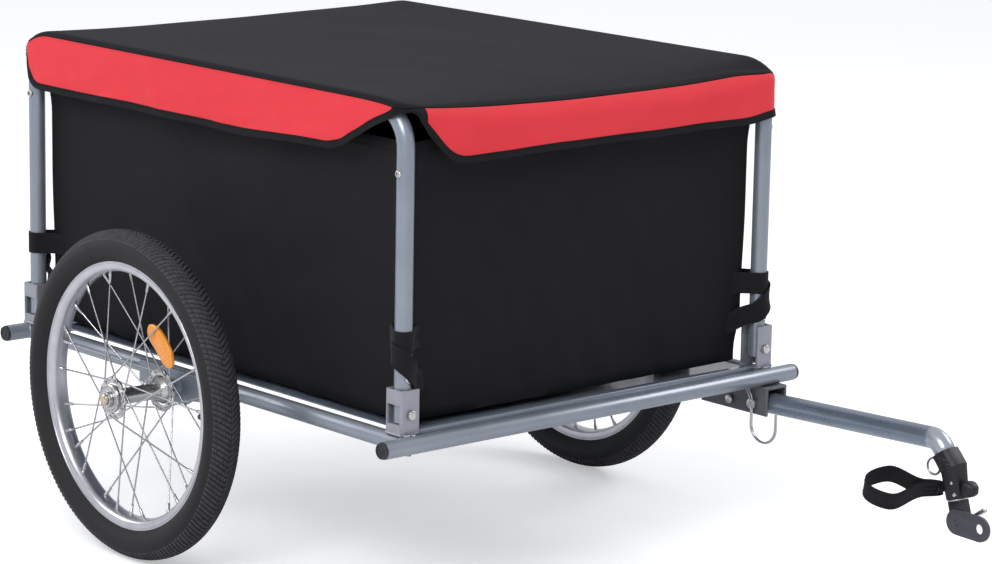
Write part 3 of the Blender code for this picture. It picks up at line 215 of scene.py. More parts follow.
def weave_group():
    """Plain weave of round threads over two directions of the piece's own map, in metres."""
    tree, source, sink = new_group("weave", "ShaderNodeTree", {"Threads": ("Float", 1600.0)},
                                   {"Height": ("Float", None), "Tone": ("Float", None)})
    point = add(tree, "ShaderNodeUVMap", {}, "UV", uv_map="cloth")
    split = tree.nodes.new("ShaderNodeSeparateXYZ")
    join(tree, split, {0: point})
    waves = [math_node(tree, "SINE", math_node(tree, "MULTIPLY", split.outputs[axis], source["Threads"]), 0.0)
             for axis in ("X", "Y")]
    join(tree, sink, {
        "Height": math_node(tree, "MULTIPLY", math_node(tree, "MULTIPLY", *waves), 0.5),
        "Tone": add(tree, "ShaderNodeTexNoise", {"Scale": 9.0, "Detail": 5.0, "Vector": point}, "Fac")})
    return tree


SPECKLE, EDGE_WEAR, WEAVE = speckle_group(), edge_wear_group(), weave_group()


# Finishes
def linear(colour):
    """sRGB numbers from 0 to 255 as linear light."""
    parts = [part / 255 for part in colour]
    return tuple(((p + 0.055) / 1.055) ** 2.4 if p > 0.04045 else p / 12.92 for p in parts) + (1.0,)


WORN_PAINT, WORN_PLASTIC = linear((150, 152, 158)), linear((92, 92, 98))


def start_material(name):
    material = bpy.data.materials.new(name)
    material.use_nodes = True
    return material, material.node_tree


def use(tree, group, values, *outputs):
    """Outputs of a shader group used in a material."""
    node = tree.nodes.new("ShaderNodeGroup")
    node.node_tree = group
    join(tree, node, values)
    return [node.outputs[label] for label in outputs]


def finish_material(material, colour, roughness, bump, values):
    """Join up a material: its colour, its roughness, a bump of (height, distance, strength) and plain values."""
    tree = material.node_tree
    height, distance, strength = bump
    normal = add(tree, "ShaderNodeBump", {"Distance": distance, "Strength": strength, "Height": height}, "Normal")
    join(tree, tree.nodes["Principled BSDF"],
         {"Base Color": colour, "Roughness": roughness, "Normal": normal, **values})
    return material


def paint(name, dark, light, roughness, metallic, coat=0.0):
    """Metallic paint with a little tone, orange peel and rubbed edges."""
    material, tree = start_material(name)
    tone, grain = use(tree, SPECKLE, {"Scale": 26.0, "Fine Scale": 700.0}, "Tone", "Grain")
    wear, = use(tree, EDGE_WEAR, {}, "Mask")
    colour = mixed(tree, wear, mixed(tree, tone, linear(dark), linear(light)), WORN_PAINT)
    return finish_material(material, colour, ranged(tree, tone, roughness - 0.07, roughness + 0.09),
                           (grain, 0.00004, 0.5),
                           {"Metallic": metallic, "Coat Weight": coat, "Coat Roughness": 0.08})


def bare_metal(name, dark, light, roughness, bump=0.00002):
    """Plated or bright metal with fine scratches."""
    material, tree = start_material(name)
    point = add(tree, "ShaderNodeMapping", {"Vector": add(tree, "ShaderNodeTexCoord", {}, "Object")})
    scratches = add(tree, "ShaderNodeTexNoise", {"Scale": 420.0, "Detail": 3.0, "Vector": point}, "Fac")
    tone, = use(tree, SPECKLE, {"Scale": 45.0, "Fine Scale": 1200.0}, "Tone")
    return finish_material(material, mixed(tree, tone, linear(dark), linear(light)),
                           ranged(tree, scratches, roughness * 0.7, roughness * 1.4), (scratches, bump, 0.4),
                           {"Metallic": 1.0})


def moulded(name, dark, light, roughness, grain_depth=0.00006, fineness=1100.0):
    """Black plastic or rubber with a fine moulded grain."""
    material, tree = start_material(name)
    tone, grain = use(tree, SPECKLE, {"Scale": 55.0, "Fine Scale": fineness}, "Tone", "Grain")
    wear, = use(tree, EDGE_WEAR, {"Sharpness": 7.0}, "Mask")
    colour = mixed(tree, wear, mixed(tree, tone, linear(dark), linear(light)), WORN_PLASTIC)
    return finish_material(material, colour, ranged(tree, tone, roughness - 0.06, roughness + 0.08),
                           (grain, grain_depth, 0.6), {})


def cloth(name, dark, light, threads, roughness, sheen, depth=0.00012):
    """Coated woven cloth. Threads is radians of weave for each metre."""
    material, tree = start_material(name)
    tone, height = use(tree, WEAVE, {"Threads": threads}, "Tone", "Height")
    return finish_material(material, mixed(tree, tone, linear(dark), linear(light)),
                           ranged(tree, tone, roughness - 0.1, roughness + 0.08), (height, depth, 0.5),
                           {"Sheen Weight": sheen, "Sheen Roughness": 0.45, "Specular IOR Level": 0.22})


def amber_lens(name):
    """Orange reflector plastic with small prisms under a clear face."""
    material, tree = start_material(name)
    point = add(tree, "ShaderNodeTexCoord", {}, "Object")
    prisms = add(tree, "ShaderNodeTexVoronoi", {"Scale": 420.0, "Randomness": 0.15, "Vector": point}, "Distance")
    return finish_material(material, mixed(tree, prisms, linear((255, 176, 52)), linear((214, 112, 20))), 0.16,
                           (prisms, 0.0004, 0.6), {"Coat Weight": 0.6})


# Each finish goes by the name of the slot that its pieces mostly fill
FINISHES = {
    "frame_paint": paint("frame_paint", (132, 141, 154), (156, 164, 176), 0.3, 0.5),
    "panel_paint": paint("panel_paint", (112, 124, 140), (134, 146, 162), 0.16, 0.45, 0.5),
    "foot_paint": paint("foot_paint", (146, 147, 158), (168, 169, 180), 0.36, 0.45),
    "bracket_paint": paint("bracket_paint", (78, 79, 84), (98, 99, 105), 0.42, 0.35),
    "bar_paint": paint("bar_paint", (118, 131, 150), (142, 155, 172), 0.26, 0.55, 0.2),
    # Lighter copy of the bar's paint: painted highlight for the light reflected off the bar's flat end
    "bar_end_painted_highlight": paint("bar_end_painted_highlight", (170, 176, 188), (194, 198, 208), 0.3, 0.6),
    "zinc": bare_metal("zinc_plate", (190, 190, 188), (222, 222, 220), 0.28),
    "nickel": bare_metal("nickel_plate", (196, 184, 160), (222, 212, 190), 0.2),
    "bright_steel": bare_metal("bright_steel", (176, 176, 180), (214, 214, 218), 0.22),
    "alloy": bare_metal("alloy", (186, 186, 194), (218, 218, 224), 0.3, 0.00003),
    "tyre_rubber": moulded("tyre_rubber", (13, 13, 15), (25, 25, 28), 0.72, 0.0001, 700.0),
    "black_plastic": moulded("black_plastic", (13, 13, 16), (24, 24, 28), 0.48),
    "black_steel": moulded("black_steel", (16, 16, 22), (30, 30, 38), 0.3, 0.00003),
    "dark_steel": moulded("dark_steel", (58, 58, 67), (74, 74, 84), 0.5, 0.00004),
    "amber": amber_lens("amber_lens"),
    "black_cloth": cloth("black_cloth", (9, 9, 12), (15, 15, 19), 5200.0, 0.7, 0.0),
    "top_cloth": cloth("top_cloth", (14, 14, 19), (22, 22, 28), 5200.0, 0.85, 0.02),
    "red_cloth": cloth("red_cloth", (208, 42, 52), (234, 62, 72), 5200.0, 0.75, 0.12),
    "binding": cloth("binding_tape", (10, 10, 13), (17, 17, 21), 3600.0, 0.8, 0.02, 0.0002),
    "webbing": cloth("webbing", (15, 15, 18), (27, 27, 31), 2600.0, 0.85, 0.04, 0.0004),
}


# Building helpers
def node_mesh(name):
    """A merged copy of a CAD node's mesh."""
    mesh = bmesh.new()
    mesh.from_mesh(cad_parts[name].data)
    bmesh.ops.remove_doubles(mesh, verts=mesh.verts, dist=0.000004)
    return mesh


def bevel(mesh, edges, width, steps):
    bmesh.ops.bevel(mesh, geom=edges, offset=width, segments=steps, profile=0.5, affect="EDGES", clamp_overlap=True)


def soften(mesh, width, above=28.0, steps=2):
    """Round the sharp edges."""
    bevel(mesh, [e for e in mesh.edges if len(e.link_faces) == 2 and e.calc_face_angle(0) > radians(above)], width,
          steps)
    bmesh.ops.remove_doubles(mesh, verts=mesh.verts, dist=0.000002)


def settle(name, data, body, replaced, sharp):
    """Put smooth mesh data in the scene as one piece that rides with a body. Sharp is an angle in degrees, or 0."""
    data.shade_smooth()
    if sharp:
        data.set_sharp_from_angle(angle=radians(sharp))
    piece = show(name, data)
    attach(piece, body)
    if replaced:
        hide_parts(*replaced)
    return piece


def to_data(name, mesh):
    data = bpy.data.meshes.new(name)
    mesh.to_mesh(data)
    mesh.free()
    return data


def place(name, mesh, body, finish, replaced=(), sharp=40.0, recalculate=True):
    """Put a mesh in the scene as one piece, with one material slot for each finish it is given: a single finish or a
    list.
    """
    if recalculate:
        bmesh.ops.recalc_face_normals(mesh, faces=mesh.faces)
    data = to_data(name, mesh)
    finishes = finish if isinstance(finish, list) else [finish]
    for label in finishes:
        data.materials.append(FINISHES[label])
    return settle(name, data, body, replaced, sharp)


def dressed(node, body, finish, width=0.0006, above=28.0):
    """A smooth copy of a CAD node with eased edges, in its place."""
    mesh = node_mesh(node)
    soften(mesh, width, above)
    place(f"{node}_finish", mesh, body, finish, [node], recalculate=False)


def with_painted_light(node, body, finishes, width, is_second):
    """A CAD node in two finishes. The second is for the faces that a rule on their middle picks, and it is painted
    light: a painted highlight on the drawbar's end and painted shade on the hitch pin's near end.
    """
    mesh = node_mesh(node)
    soften(mesh, width, 35)
    for face in mesh.faces:
        if is_second(face.calc_center_median()):
            face.material_index = 1
    place(f"{node}_finish", mesh, body, finishes, [node], recalculate=False)


def circle(sides):
    """Cosine and sine of each of so many even turns."""
    return [(cos(tau * k / sides), sin(tau * k / sides)) for k in range(sides)]


def add_ring(mesh, points):
    return [mesh.verts.new(p) for p in points]


def join_rings(mesh, rings, loop=False, material=0):
    """Faces between closed rings of equal count. Loop joins the last ring to the first."""
    for first, second in zip(rings, rings[1:] + rings[:1] if loop else rings[1:]):
        count = len(first)
        for i in range(count):
            j = (i + 1) % count
            mesh.faces.new((first[i], first[j], second[j], second[i])).material_index = material


def add_solid(mesh, rings, material=0):
    """Faces between rings and over the two ends."""
    join_rings(mesh, rings, material=material)
    for ring in (rings[0], rings[-1][::-1]):
        mesh.faces.new(ring).material_index = material


def square_to(direction, along):
    """The part of a direction that is square to another, as a unit vector."""
    return (direction - along * direction.dot(along)).normalized()


def frames_along(path, side, loop=False):
    """Each point of a path, with its direction and two cross directions. Loop closes the path."""
    last = len(path) - 1
    result = []
    for i, point in enumerate(path):
        before, after = (i - 1, (i + 1) % len(path)) if loop else (max(i - 1, 0), min(i + 1, last))
        along = (path[after] - path[before]).normalized()
        across = square_to(side, along)
        result.append((point, along, across, along.cross(across)))
    return result


def add_tube(mesh, path, radius, sides=16, side=LEFT):
    """A round bar along a path. Its radius is one number, or one for each point."""
    rings = []
    for i, (point, _, across, over) in enumerate(frames_along(path, side)):
        size = radius[i] if isinstance(radius, list) else radius
        rings.append(add_ring(mesh, [point + across * c * size + over * s * size for c, s in circle(sides)]))
    add_solid(mesh, rings)


def arc_points(centre, radius, start, end, steps):
    """Points of an arc that stands upright along the trailer, with its angles in degrees from forward."""
    angles = [radians(start + (end - start) * i / steps) for i in range(steps + 1)]
    return [Vector(centre) + FORWARD * cos(a) * radius + UP * sin(a) * radius for a in angles]


def add_lathe(mesh, profile, sides, centre, axis, side, material=0, loop=False):
    """A profile of (radius, distance along the axis) turned about an axis."""
    over = axis.cross(side)
    rings = [add_ring(mesh, [Vector(centre) + axis * along + (side * c + over * s) * max(radius, 0.00001)
                             for c, s in circle(sides)]) for radius, along in profile]
    if loop:
        join_rings(mesh, rings, loop=True)
    else:
        add_solid(mesh, rings, material)


def add_block(mesh, centre, half_edges):
    """A box by its centre and half edges."""
    corners = [mesh.verts.new([c + sign * h for c, sign, h in zip(centre, (a, b, d), half_edges)])
               for a in (-1, 1) for b in (-1, 1) for d in (-1, 1)]
    for face in ((0, 1, 3, 2), (4, 6, 7, 5), (0, 4, 5, 1), (2, 3, 7, 6), (0, 2, 6, 4), (1, 5, 7, 3)):
        mesh.faces.new([corners[i] for i in face])


def map_cloth(mesh):
    """Turn the faces of a closed shape outwards and lay its cloth map, in metres."""
    bmesh.ops.recalc_face_normals(mesh, faces=mesh.faces)
    mesh.normal_update()
    lay_map(mesh)


def lay_map(mesh):
    """Lay the map called cloth, by the two directions nearest to lying in each face."""
    layer = mesh.loops.layers.uv.get("cloth") or mesh.loops.layers.uv.new("cloth")
    for face in mesh.faces:
        nx, ny, nz = (abs(c) for c in face.normal)
        for loop in face.loops:
            x, y, z = loop.vert.co
            loop[layer].uv = (x, y) if nz >= max(nx, ny) else (y, z) if nx > ny else (x, z)


# Frame, feet and hoops
POST_SCREW_Z = 0.507
STRAP_SCREW_Z = 0.279
HOOP_BEND = 0.042
FOOT_FOLD = 0.0026
FLUSH = 0.00002
WELD_PITCH = 0.0022
WELD_INSET = 0.0006
SCREW_RADIUS, SCREW_HEIGHT = 0.0045, 0.0026
FRAME_FINISHES = {"floor_panel": ("panel_paint", 0.0005), "front_cross_tube": ("frame_paint", 0.0002),
                  "rear_cross_tube": ("frame_paint", 0.0002), "drawbar_bracket": ("bracket_paint", 0.0007),
                  "drawbar_pivot_bolt": ("zinc", 0.0006)}


def add_weld(mesh, path, radius):
    """A bead of weld with the small overlapping ripples of a hand torch."""
    length = sum((b - a).length for a, b in zip(path, path[1:]))
    steps = max(int(length / (WELD_PITCH / 5)), 8)
    dense, sizes = [], []
    for i in range(steps + 1):
        share = i / steps * (len(path) - 1)
        k = min(int(share), len(path) - 2)
        dense.append(path[k].lerp(path[k + 1], share - k))
        ripple_share = (i / steps * length / WELD_PITCH) % 1
        sizes.append(radius * (0.82 + 0.22 * sqrt(max(1 - (2 * ripple_share - 1) ** 2, 0))))
    add_tube(mesh, dense, sizes, 10)


def add_frame_welds(name, mesh):
    """Beads round each rail where it meets a cross tube."""
    low, high = low_high(f"{name}_side_rail")
    y, z = (low.y + high.y) / 2, (low.z + high.z) / 2
    for end, sign in (("front", 1), ("rear", -1)):
        low, high = low_high(f"{end}_cross_tube")
        tube_x = ((low + high) / 2).x
        path = []
        for i in range(49):
            angle = tau * i / 48
            path.append(Vector((
                tube_x - sign * (TUBE_RADIUS + 0.0004) * abs(cos(angle)) - sign * WELD_INSET,
                y + (TUBE_RADIUS + WELD_INSET) * cos(angle), z + (TUBE_RADIUS + WELD_INSET) * sin(angle))))
        add_weld(mesh, path, 0.0017)


def add_pan_screw(mesh, centre, axis, across):
    """A pan head with a cross recess."""
    over = axis.cross(across)
    arm, reach, depth = SCREW_RADIUS * 0.16, SCREW_RADIUS * 0.62, SCREW_HEIGHT * 0.62
    levels = [(1.0, 0.0), (1.0, 0.45), (0.93, 0.72), (0.8, 0.88)]
    levels += [(0.72 - 0.06 * k, 0.94 + 0.005 * k) for k in range(11)]
    rings = []
    for share, rise in levels:
        ring = []
        for c, s in circle(72):
            u, v = c * share * SCREW_RADIUS, s * share * SCREW_RADIUS
            inside = (abs(u) < arm or abs(v) < arm) and hypot(u, v) < reach
            ring.append(Vector(centre) + across * u + over * v
                        + axis * (rise * SCREW_HEIGHT - (depth if inside else 0)))
        rings.append(add_ring(mesh, ring))
    add_solid(mesh, rings)


def hoop_path(y):
    top = HOOP_TOP_Z - HOOP_BEND
    path = [Vector((FRONT_POST_X, y, HOOP_LOW.z))]
    path += arc_points((FRONT_POST_X - HOOP_BEND, y, top), HOOP_BEND, 0, 90, 14)
    path += arc_points((REAR_POST_X + HOOP_BEND, y, top), HOOP_BEND, 90, 180, 14)
    return path + [Vector((REAR_POST_X, y, HOOP_LOW.z))]


def make_foot(name):
    """The folded bracket, round at its outer folds, with the weld along its base."""
    node = f"{name}_foot_bracket"
    low, high = low_high(node)
    mesh = node_mesh(node)
    out_y = low.y if name.startswith("right") else high.y
    strip = FOOT_FOLD + 0.0002
    for spot, normal in (((low.x + strip, 0, 0), FORWARD), ((high.x - strip, 0, 0), FORWARD),
                         ((0, out_y + copysign(strip, -out_y), 0), LEFT)):
        bmesh.ops.bisect_plane(mesh, geom=mesh.verts[:] + mesh.edges[:] + mesh.faces[:], plane_co=spot,
                               plane_no=normal)

    def near(part, x, x_reach, y_reach):
        return all(abs(v.co.x - x) < x_reach and abs(v.co.y - out_y) < y_reach for v in part.verts)

    # The strips beside each fold become one face, so that the bevel runs straight
    for x in (low.x, high.x):
        for reaches in ((FLUSH, strip + FLUSH), (strip + FLUSH, FLUSH)):
            faces = [face for face in mesh.faces if near(face, x, *reaches)]
            if len(faces) > 1:
                bmesh.ops.dissolve_faces(mesh, faces=faces)
    bevel(mesh, [e for e in mesh.edges if any(near(e, x, FLUSH, FLUSH) for x in (low.x, high.x))], FOOT_FOLD, 5)
    soften(mesh, 0.0005, 40)
    place(f"{node}_finish", mesh, "frame", "foot_paint", [node], recalculate=False)
    left, right, front, back = low.x + WELD_INSET, high.x - WELD_INSET, low.y + WELD_INSET, high.y - WELD_INSET
    ring = [Vector((x, y, low.z + WELD_INSET))
            for x, y in ((left, front), (right, front), (right, back), (left, back), (left, front))]
    bead = bmesh.new()
    for a, b in zip(ring, ring[1:]):
        add_weld(bead, [a.lerp(b, k / 12) for k in range(13)], 0.0016)
    place(f"{name}_foot_weld", bead, "frame", "foot_paint")


def make_plug(node, side):
    """The plug's round cap with a raised rim and a shallow dimple."""
    mesh = node_mesh(node)
    soften(mesh, 0.0005)
    low, high = low_high(node)
    centre = ((low.x + high.x) / 2, high.y if side > 0 else low.y, (low.z + high.z) / 2)
    radius = (high.x - low.x) / 2
    rim = ((0.92, -0.0004), (0.88, 0.0006), (0.76, 0.0007), (0.7, 0.0001), (0.7, -0.0004))
    for profile, sides in ((rim, 40), (((0.2, -0.0003), (0.16, 0.0005), (0, 0.0006)), 24)):
        add_lathe(mesh, [(radius * share, side * out) for share, out in profile], sides, centre, LEFT, FORWARD)
    place(f"{node}_finish", mesh, "frame", "black_plastic", [node])


def make_frame():
    for node, (finish, width) in FRAME_FINISHES.items():
        dressed(node, "frame", finish, width)
    for name, side in SIDES.items():
        dressed(f"{name}_side_rail", "frame", "frame_paint", 0.0002)
        dressed(f"{name}_axle_bracket", "frame", "frame_paint", 0.0005)
        welds = bmesh.new()
        add_frame_welds(name, welds)
        place(f"{name}_frame_welds", welds, "frame", "frame_paint")
        for end in ("front", "rear"):
            make_foot(f"{name}_{end}")
            dressed(f"{name}_{end}_foot_bolt", "frame", "zinc")
            make_plug(f"{end}_{name}_end_plug", side)


def make_hoops():
    """The two bent tubes, each with four screws."""
    inset = TUBE_RADIUS - 0.0004
    for name, side in SIDES.items():
        tube = bmesh.new()
        add_tube(tube, hoop_path(side * POST_Y), TUBE_RADIUS, 28)
        place(f"{name}_hoop_tube", tube, f"{name}_hoop_body", "frame_paint", [f"{name}_hoop"])
        for end, x, way in (("front", FRONT_POST_X, 1), ("rear", REAR_POST_X, -1)):
            screws = bmesh.new()
            add_pan_screw(screws, (x, side * (POST_Y + inset), POST_SCREW_Z), LEFT * side, Vector((0.8, 0, 0.6)))
            add_pan_screw(screws, (x + way * inset, side * POST_Y, STRAP_SCREW_Z), FORWARD * way,
                          Vector((0, 0.8, 0.6)))
            place(f"{name}_{end}_post_screw", screws, f"{name}_hoop_body", "zinc")


# Wheels
TREAD_PITCHES = 92
TREAD_DEPTH = 0.0016
BLOCK_WIDTH, BLOCK_SLANT = 0.0031, 0.0009
TREAD_ROWS = (0.0172, 0.0135, 0.0098, 0.0060, 0.0021)
FLANGE_TEETH = 14
FLANGE_RADIUS, FLANGE_THICKNESS = 0.0255, 0.003
INNER_FLANGE_Y, OUTER_FLANGE_Y = 0.3145, 0.383
SPOKE_WIRE = 0.0010
SPOKE_WRAP = radians(62)
RIM_BORE = 0.146
RIM_EDGE = 0.1585
HUB_HOLE_RADIUS = 0.0218
REFLECTOR_ANGLE, REFLECTOR_RADIUS = radians(48), 0.097
REFLECTOR_HALF_LENGTH, REFLECTOR_HALF_WIDTH = 0.031, 0.0122


def lay_copies(tree, sink, points, instance, rotation, finish):
    """Node group end: copies of an instance on points, made real and given a material."""
    copies = add(tree, "GeometryNodeInstanceOnPoints",
                 {"Points": points, "Instance": instance, "Rotation": rotation})
    whole = add(tree, "GeometryNodeRealizeInstances", {0: copies})
    join(tree, sink, {0: add(tree, "GeometryNodeSetMaterial", {"Geometry": whole, "Material": finish})})


def round_array():
    """Node group that repeats a piece round its own Y axis and gives it a material."""
    tree, source, sink = new_group(
        "round_array", "GeometryNodeTree", {"Element": ("Geometry", None), "Count": ("Int", None),
                                            "Start": ("Float", None), "Finish": ("Material", None)},
        {"Whole": ("Geometry", None)})
    points = add(tree, "GeometryNodePoints", {"Count": source["Count"]})
    step = math_node(tree, "DIVIDE", tau, source["Count"])
    turn = math_node(tree, "MULTIPLY", add(tree, "GeometryNodeInputIndex", {}), step)
    turn = add(tree, "ShaderNodeCombineXYZ", {"Y": math_node(tree, "ADD", turn, source["Start"])})
    lay_copies(tree, sink, points, source["Element"], add(tree, "FunctionNodeEulerToRotation", {0: turn}),
               source["Finish"])
    return tree


ROUND_ARRAY = round_array()


def passed_through(name, data, group, values):
    """The mesh that a node group makes of mesh data."""
    source = show(f"{name}_source", data)
    modifier = source.modifiers.new(group.name, "NODES")
    modifier.node_group = group
    for item in group.interface.items_tree:
        if item.in_out == "INPUT" and item.name in values:
            modifier[item.identifier] = values[item.name]
    bpy.context.view_layer.update()
    whole = bpy.data.meshes.new_from_object(source.evaluated_get(bpy.context.evaluated_depsgraph_get()))
    whole.name = name
    bpy.data.objects.remove(source)
    return whole


def repeated(name, mesh, count, start, centre, body, finish, replaced=(), sharp=40.0):
    """Repeat one element round the Y axis through a centre. The element is modelled about the origin."""
    bmesh.ops.recalc_face_normals(mesh, faces=mesh.faces)
    whole = passed_through(name, to_data(f"{name}_element", mesh), ROUND_ARRAY,
                           {"Count": count, "Start": start, "Finish": FINISHES[finish]})
    whole.transform(Matrix.Translation(centre))
    settle(name, whole, body, replaced, sharp)


def wheel_spot(radius, angle, along):
    """A place on a wheel about the origin: distance from the axle, angle from forward, and Y."""
    return Vector((radius * cos(angle), along, radius * sin(angle)))


def tread_radius(across):
    """The tyre's radius under the tread at a distance from its middle."""
    return WHEEL_RADIUS - TREAD_DEPTH - 0.0135 * (abs(across) / (TYRE_WIDTH / 2)) ** 2.3


def add_tread_block(mesh, angle, across, length, width, slant):
    """One block of the tread: four corners on the casing and a smaller top."""
    layers = []
    for rise, share in ((-0.0004, 1.0), (TREAD_DEPTH * 0.8, 0.9), (TREAD_DEPTH, 0.74)):
        ring = []
        for u, v in ((-1, -1), (1, -1), (1, 1), (-1, 1)):
            a = across + v * width / 2 * share
            turn = angle + (u * length / 2 * share + v * slant) / WHEEL_RADIUS
            ring.append(wheel_spot(tread_radius(a) + rise, turn, a))
        layers.append(add_ring(mesh, ring))
    join_rings(mesh, layers)
    mesh.faces.new(layers[-1])
    mesh.faces.new(layers[0][::-1])


def tread_element():
    """The blocks of one pitch of the tread, in slanting rows."""
    mesh = bmesh.new()
    pitch = tau / TREAD_PITCHES
    for across in [-a for a in TREAD_ROWS] + list(TREAD_ROWS[::-1]):
        shift = abs(across) / TREAD_ROWS[0] * pitch * 0.9
        for k in range(2):
            add_tread_block(mesh, pitch * (k / 2) + shift, across, pitch * WHEEL_RADIUS * 0.36, BLOCK_WIDTH,
                            copysign(BLOCK_SLANT, across))
    return mesh


def make_tyre(name, body, centre):
    side = ((-0.003, 0.0096), (0.0005, 0.0112), (0.0012, 0.0134), (0.003, 0.0146), (0.0036, 0.0158),
            (0.0048, 0.0162), (0.0056, 0.0176), (0.009, 0.0198), (0.013, 0.0213), (0.017, 0.0217), (0.0205, 0.0213),
            (0.0215, 0.0205))
    half = [(RIM_EDGE + rise, a) for rise, a in side]
    half += [(tread_radius(a), a) for a in (0.0188, 0.0168, 0.0144, 0.0116, 0.0085, 0.0052, 0.0018)]
    tyre = bmesh.new()
    add_lathe(tyre, [(r, -a) for r, a in half] + half[::-1], 168, centre, LEFT, FORWARD, loop=True)
    place(f"{name}_tyre_body", tyre, body, "tyre_rubber", [f"{name}_tyre"], sharp=50)
    repeated(f"{name}_tread", tread_element(), TREAD_PITCHES, 0.0, centre, body, "tyre_rubber", sharp=30)


def make_rim(name, body, centre):
    bore = ((0, 0.0006), (0.0003, 0.0042), (0.0012, 0.0078), (0.0028, 0.0102), (0.0042, 0.0113), (0.0052, 0.01165),
            (0.0100, 0.0119), (0.0104, 0.0114), (0.0112, 0.0114), (0.0116, 0.0121))
    edge = ((0.0002, 0.0122), (0.0006, 0.0116), (0.0002, 0.0107), (-0.0035, 0.0100), (-0.0048, 0.0088),
            (-0.0052, 0.0006))
    half = [(RIM_BORE + rise, a) for rise, a in bore] + [(RIM_EDGE + rise, a) for rise, a in edge]
    rim = bmesh.new()
    add_lathe(rim, [(r, -a) for r, a in half[::-1]] + half, 168, centre, LEFT, FORWARD, loop=True)
    place(f"{name}_rim_finish", rim, body, "alloy", [f"{name}_rim"], sharp=38)


def spoke_element(side, flange_y, rim_y):
    """One leading and one trailing spoke with heads and nipples."""
    mesh = bmesh.new()
    for hand in (1, -1):
        lift = side * hand * (FLANGE_THICKNESS / 2 + SPOKE_WIRE)
        start = wheel_spot(HUB_HOLE_RADIUS, -hand * pi / FLANGE_TEETH, flange_y + lift)
        end = wheel_spot(RIM_BORE + 0.0006, hand * SPOKE_WRAP, rim_y)
        along = (end - start).normalized()
        head = start + Vector((0, -lift * 1.9, 0))
        elbow = [head, start + Vector((0, -lift * 0.5, 0)), start + along * 0.0004, start + along * 0.002]
        add_tube(mesh, elbow + [end], SPOKE_WIRE, 8, Vector((0.3, 0.2, 0.93)))
        add_lathe(mesh, [(0.0009, -0.0002), (0.0019, 0.0), (0.0017, 0.0005), (0.0004, 0.0009)], 10, head,
                  Vector((0, -lift, 0)).normalized(), FORWARD)
        nipple = [(0.0012, -0.013), (0.0018, -0.0124), (0.0019, -0.006), (0.0023, -0.0052), (0.0023, 0.0)]
        add_lathe(mesh, nipple, 10, end, along, LEFT.cross(along).normalized())
    return mesh


def flange_disc(mesh, centre, low, high):
    """A toothed disc with a shallow scallop between the spoke holes."""
    sides = FLANGE_TEETH * 10
    rings = []
    for share, y in ((0.72, low), (0.985, low), (1.0, low + 0.0004), (1.0, high - 0.0004), (0.985, high),
                     (0.72, high)):
        ring = []
        for k in range(sides):
            angle = tau * k / sides
            notch = max(0.0, -cos(angle * FLANGE_TEETH)) ** 1.5
            size = FLANGE_RADIUS * share * (1 - 0.085 * notch * (share > 0.9))
            ring.append(centre + wheel_spot(size, angle, y))
        rings.append(add_ring(mesh, ring))
    join_rings(mesh, rings, loop=True)


def make_hub(name, body, side, centre):
    low, high = low_high(f"{name}_hub")
    inner, outer = sorted((abs(low.y), abs(high.y)))
    inner_y, outer_y, thick = INNER_FLANGE_Y, OUTER_FLANGE_Y, FLANGE_THICKNESS
    shell = [(0.0078, 0.3178), (0.0146, 0.3178), (0.0146, inner), (0.0161, inner), (0.0168, inner + 0.0006),
             (0.0168, inner_y), (0.0150, inner_y + thick + 0.0004), (0.0124, inner_y + 0.0066),
             (0.0104, inner_y + 0.0095), (0.0098, inner_y + 0.013), (0.0095, 0.352), (0.0098, outer_y - 0.010),
             (0.0106, outer_y - 0.0065), (0.0128, outer_y - 0.0035), (0.0152, outer_y - 0.0004),
             (0.0168, outer_y + thick), (0.0168, outer - 0.0006), (0.0161, outer), (0.0146, outer),
             (0.0146, 0.3827), (0.0078, 0.3827)]
    hub = bmesh.new()
    on_axis = centre - Vector((0, centre.y, 0))
    add_lathe(hub, [(r, side * a) for r, a in shell], 72, on_axis, LEFT, FORWARD, loop=True)
    for base in (inner_y, outer_y):
        flange_disc(hub, on_axis, *sorted((side * base, side * (base + thick))))
    place(f"{name}_hub_shell", hub, body, "zinc", [f"{name}_hub"], sharp=35)
    for label, base, hand, start in (("inner", inner_y, -1, 0.0), ("outer", outer_y, 1, -0.25 * tau / 7)):
        element = spoke_element(side, side * (base + thick / 2) - side * WHEEL_Y, side * hand * 0.00235)
        repeated(f"{name}_{label}_spoke_set", element, 7, start, centre, body, "bright_steel",
                 [f"{name}_{label}_spokes"], sharp=50)


def make_reflector(name, body, centre):
    """A curved amber lens with rounded ends and fine ribs."""
    low, high = low_high(f"{name}_reflector")
    middle = Vector((centre.x, (low.y + high.y) / 2, centre.z))
    thick = (high.y - low.y) / 2
    steps, straight = 72, 0.3
    mesh = bmesh.new()
    rings = []
    for i in range(steps + 1):
        u = sin((-1 + 2 * i / steps) * pi / 2)
        beyond = max(abs(u) - straight, 0) / (1 - straight)
        width = REFLECTOR_HALF_WIDTH * sqrt(max(1 - beyond ** 2, 0.0004))
        fade = sqrt(max(1 - beyond ** 4, 0.02))
        angle = REFLECTOR_ANGLE + u * REFLECTOR_HALF_LENGTH / REFLECTOR_RADIUS
        ring = []
        for c, s in circle(32):
            rib = 0.00028 * (i // 2 % 2) * (abs(c) < 0.8)
            out = (thick - rib) * fade * copysign(abs(s) ** 0.6, s)
            ring.append(middle + wheel_spot(REFLECTOR_RADIUS + width * copysign(abs(c) ** 0.5, c), angle, out))
        rings.append(add_ring(mesh, ring))
    add_solid(mesh, rings)
    place(f"{name}_reflector_lens", mesh, body, "amber", [f"{name}_reflector"], sharp=45)


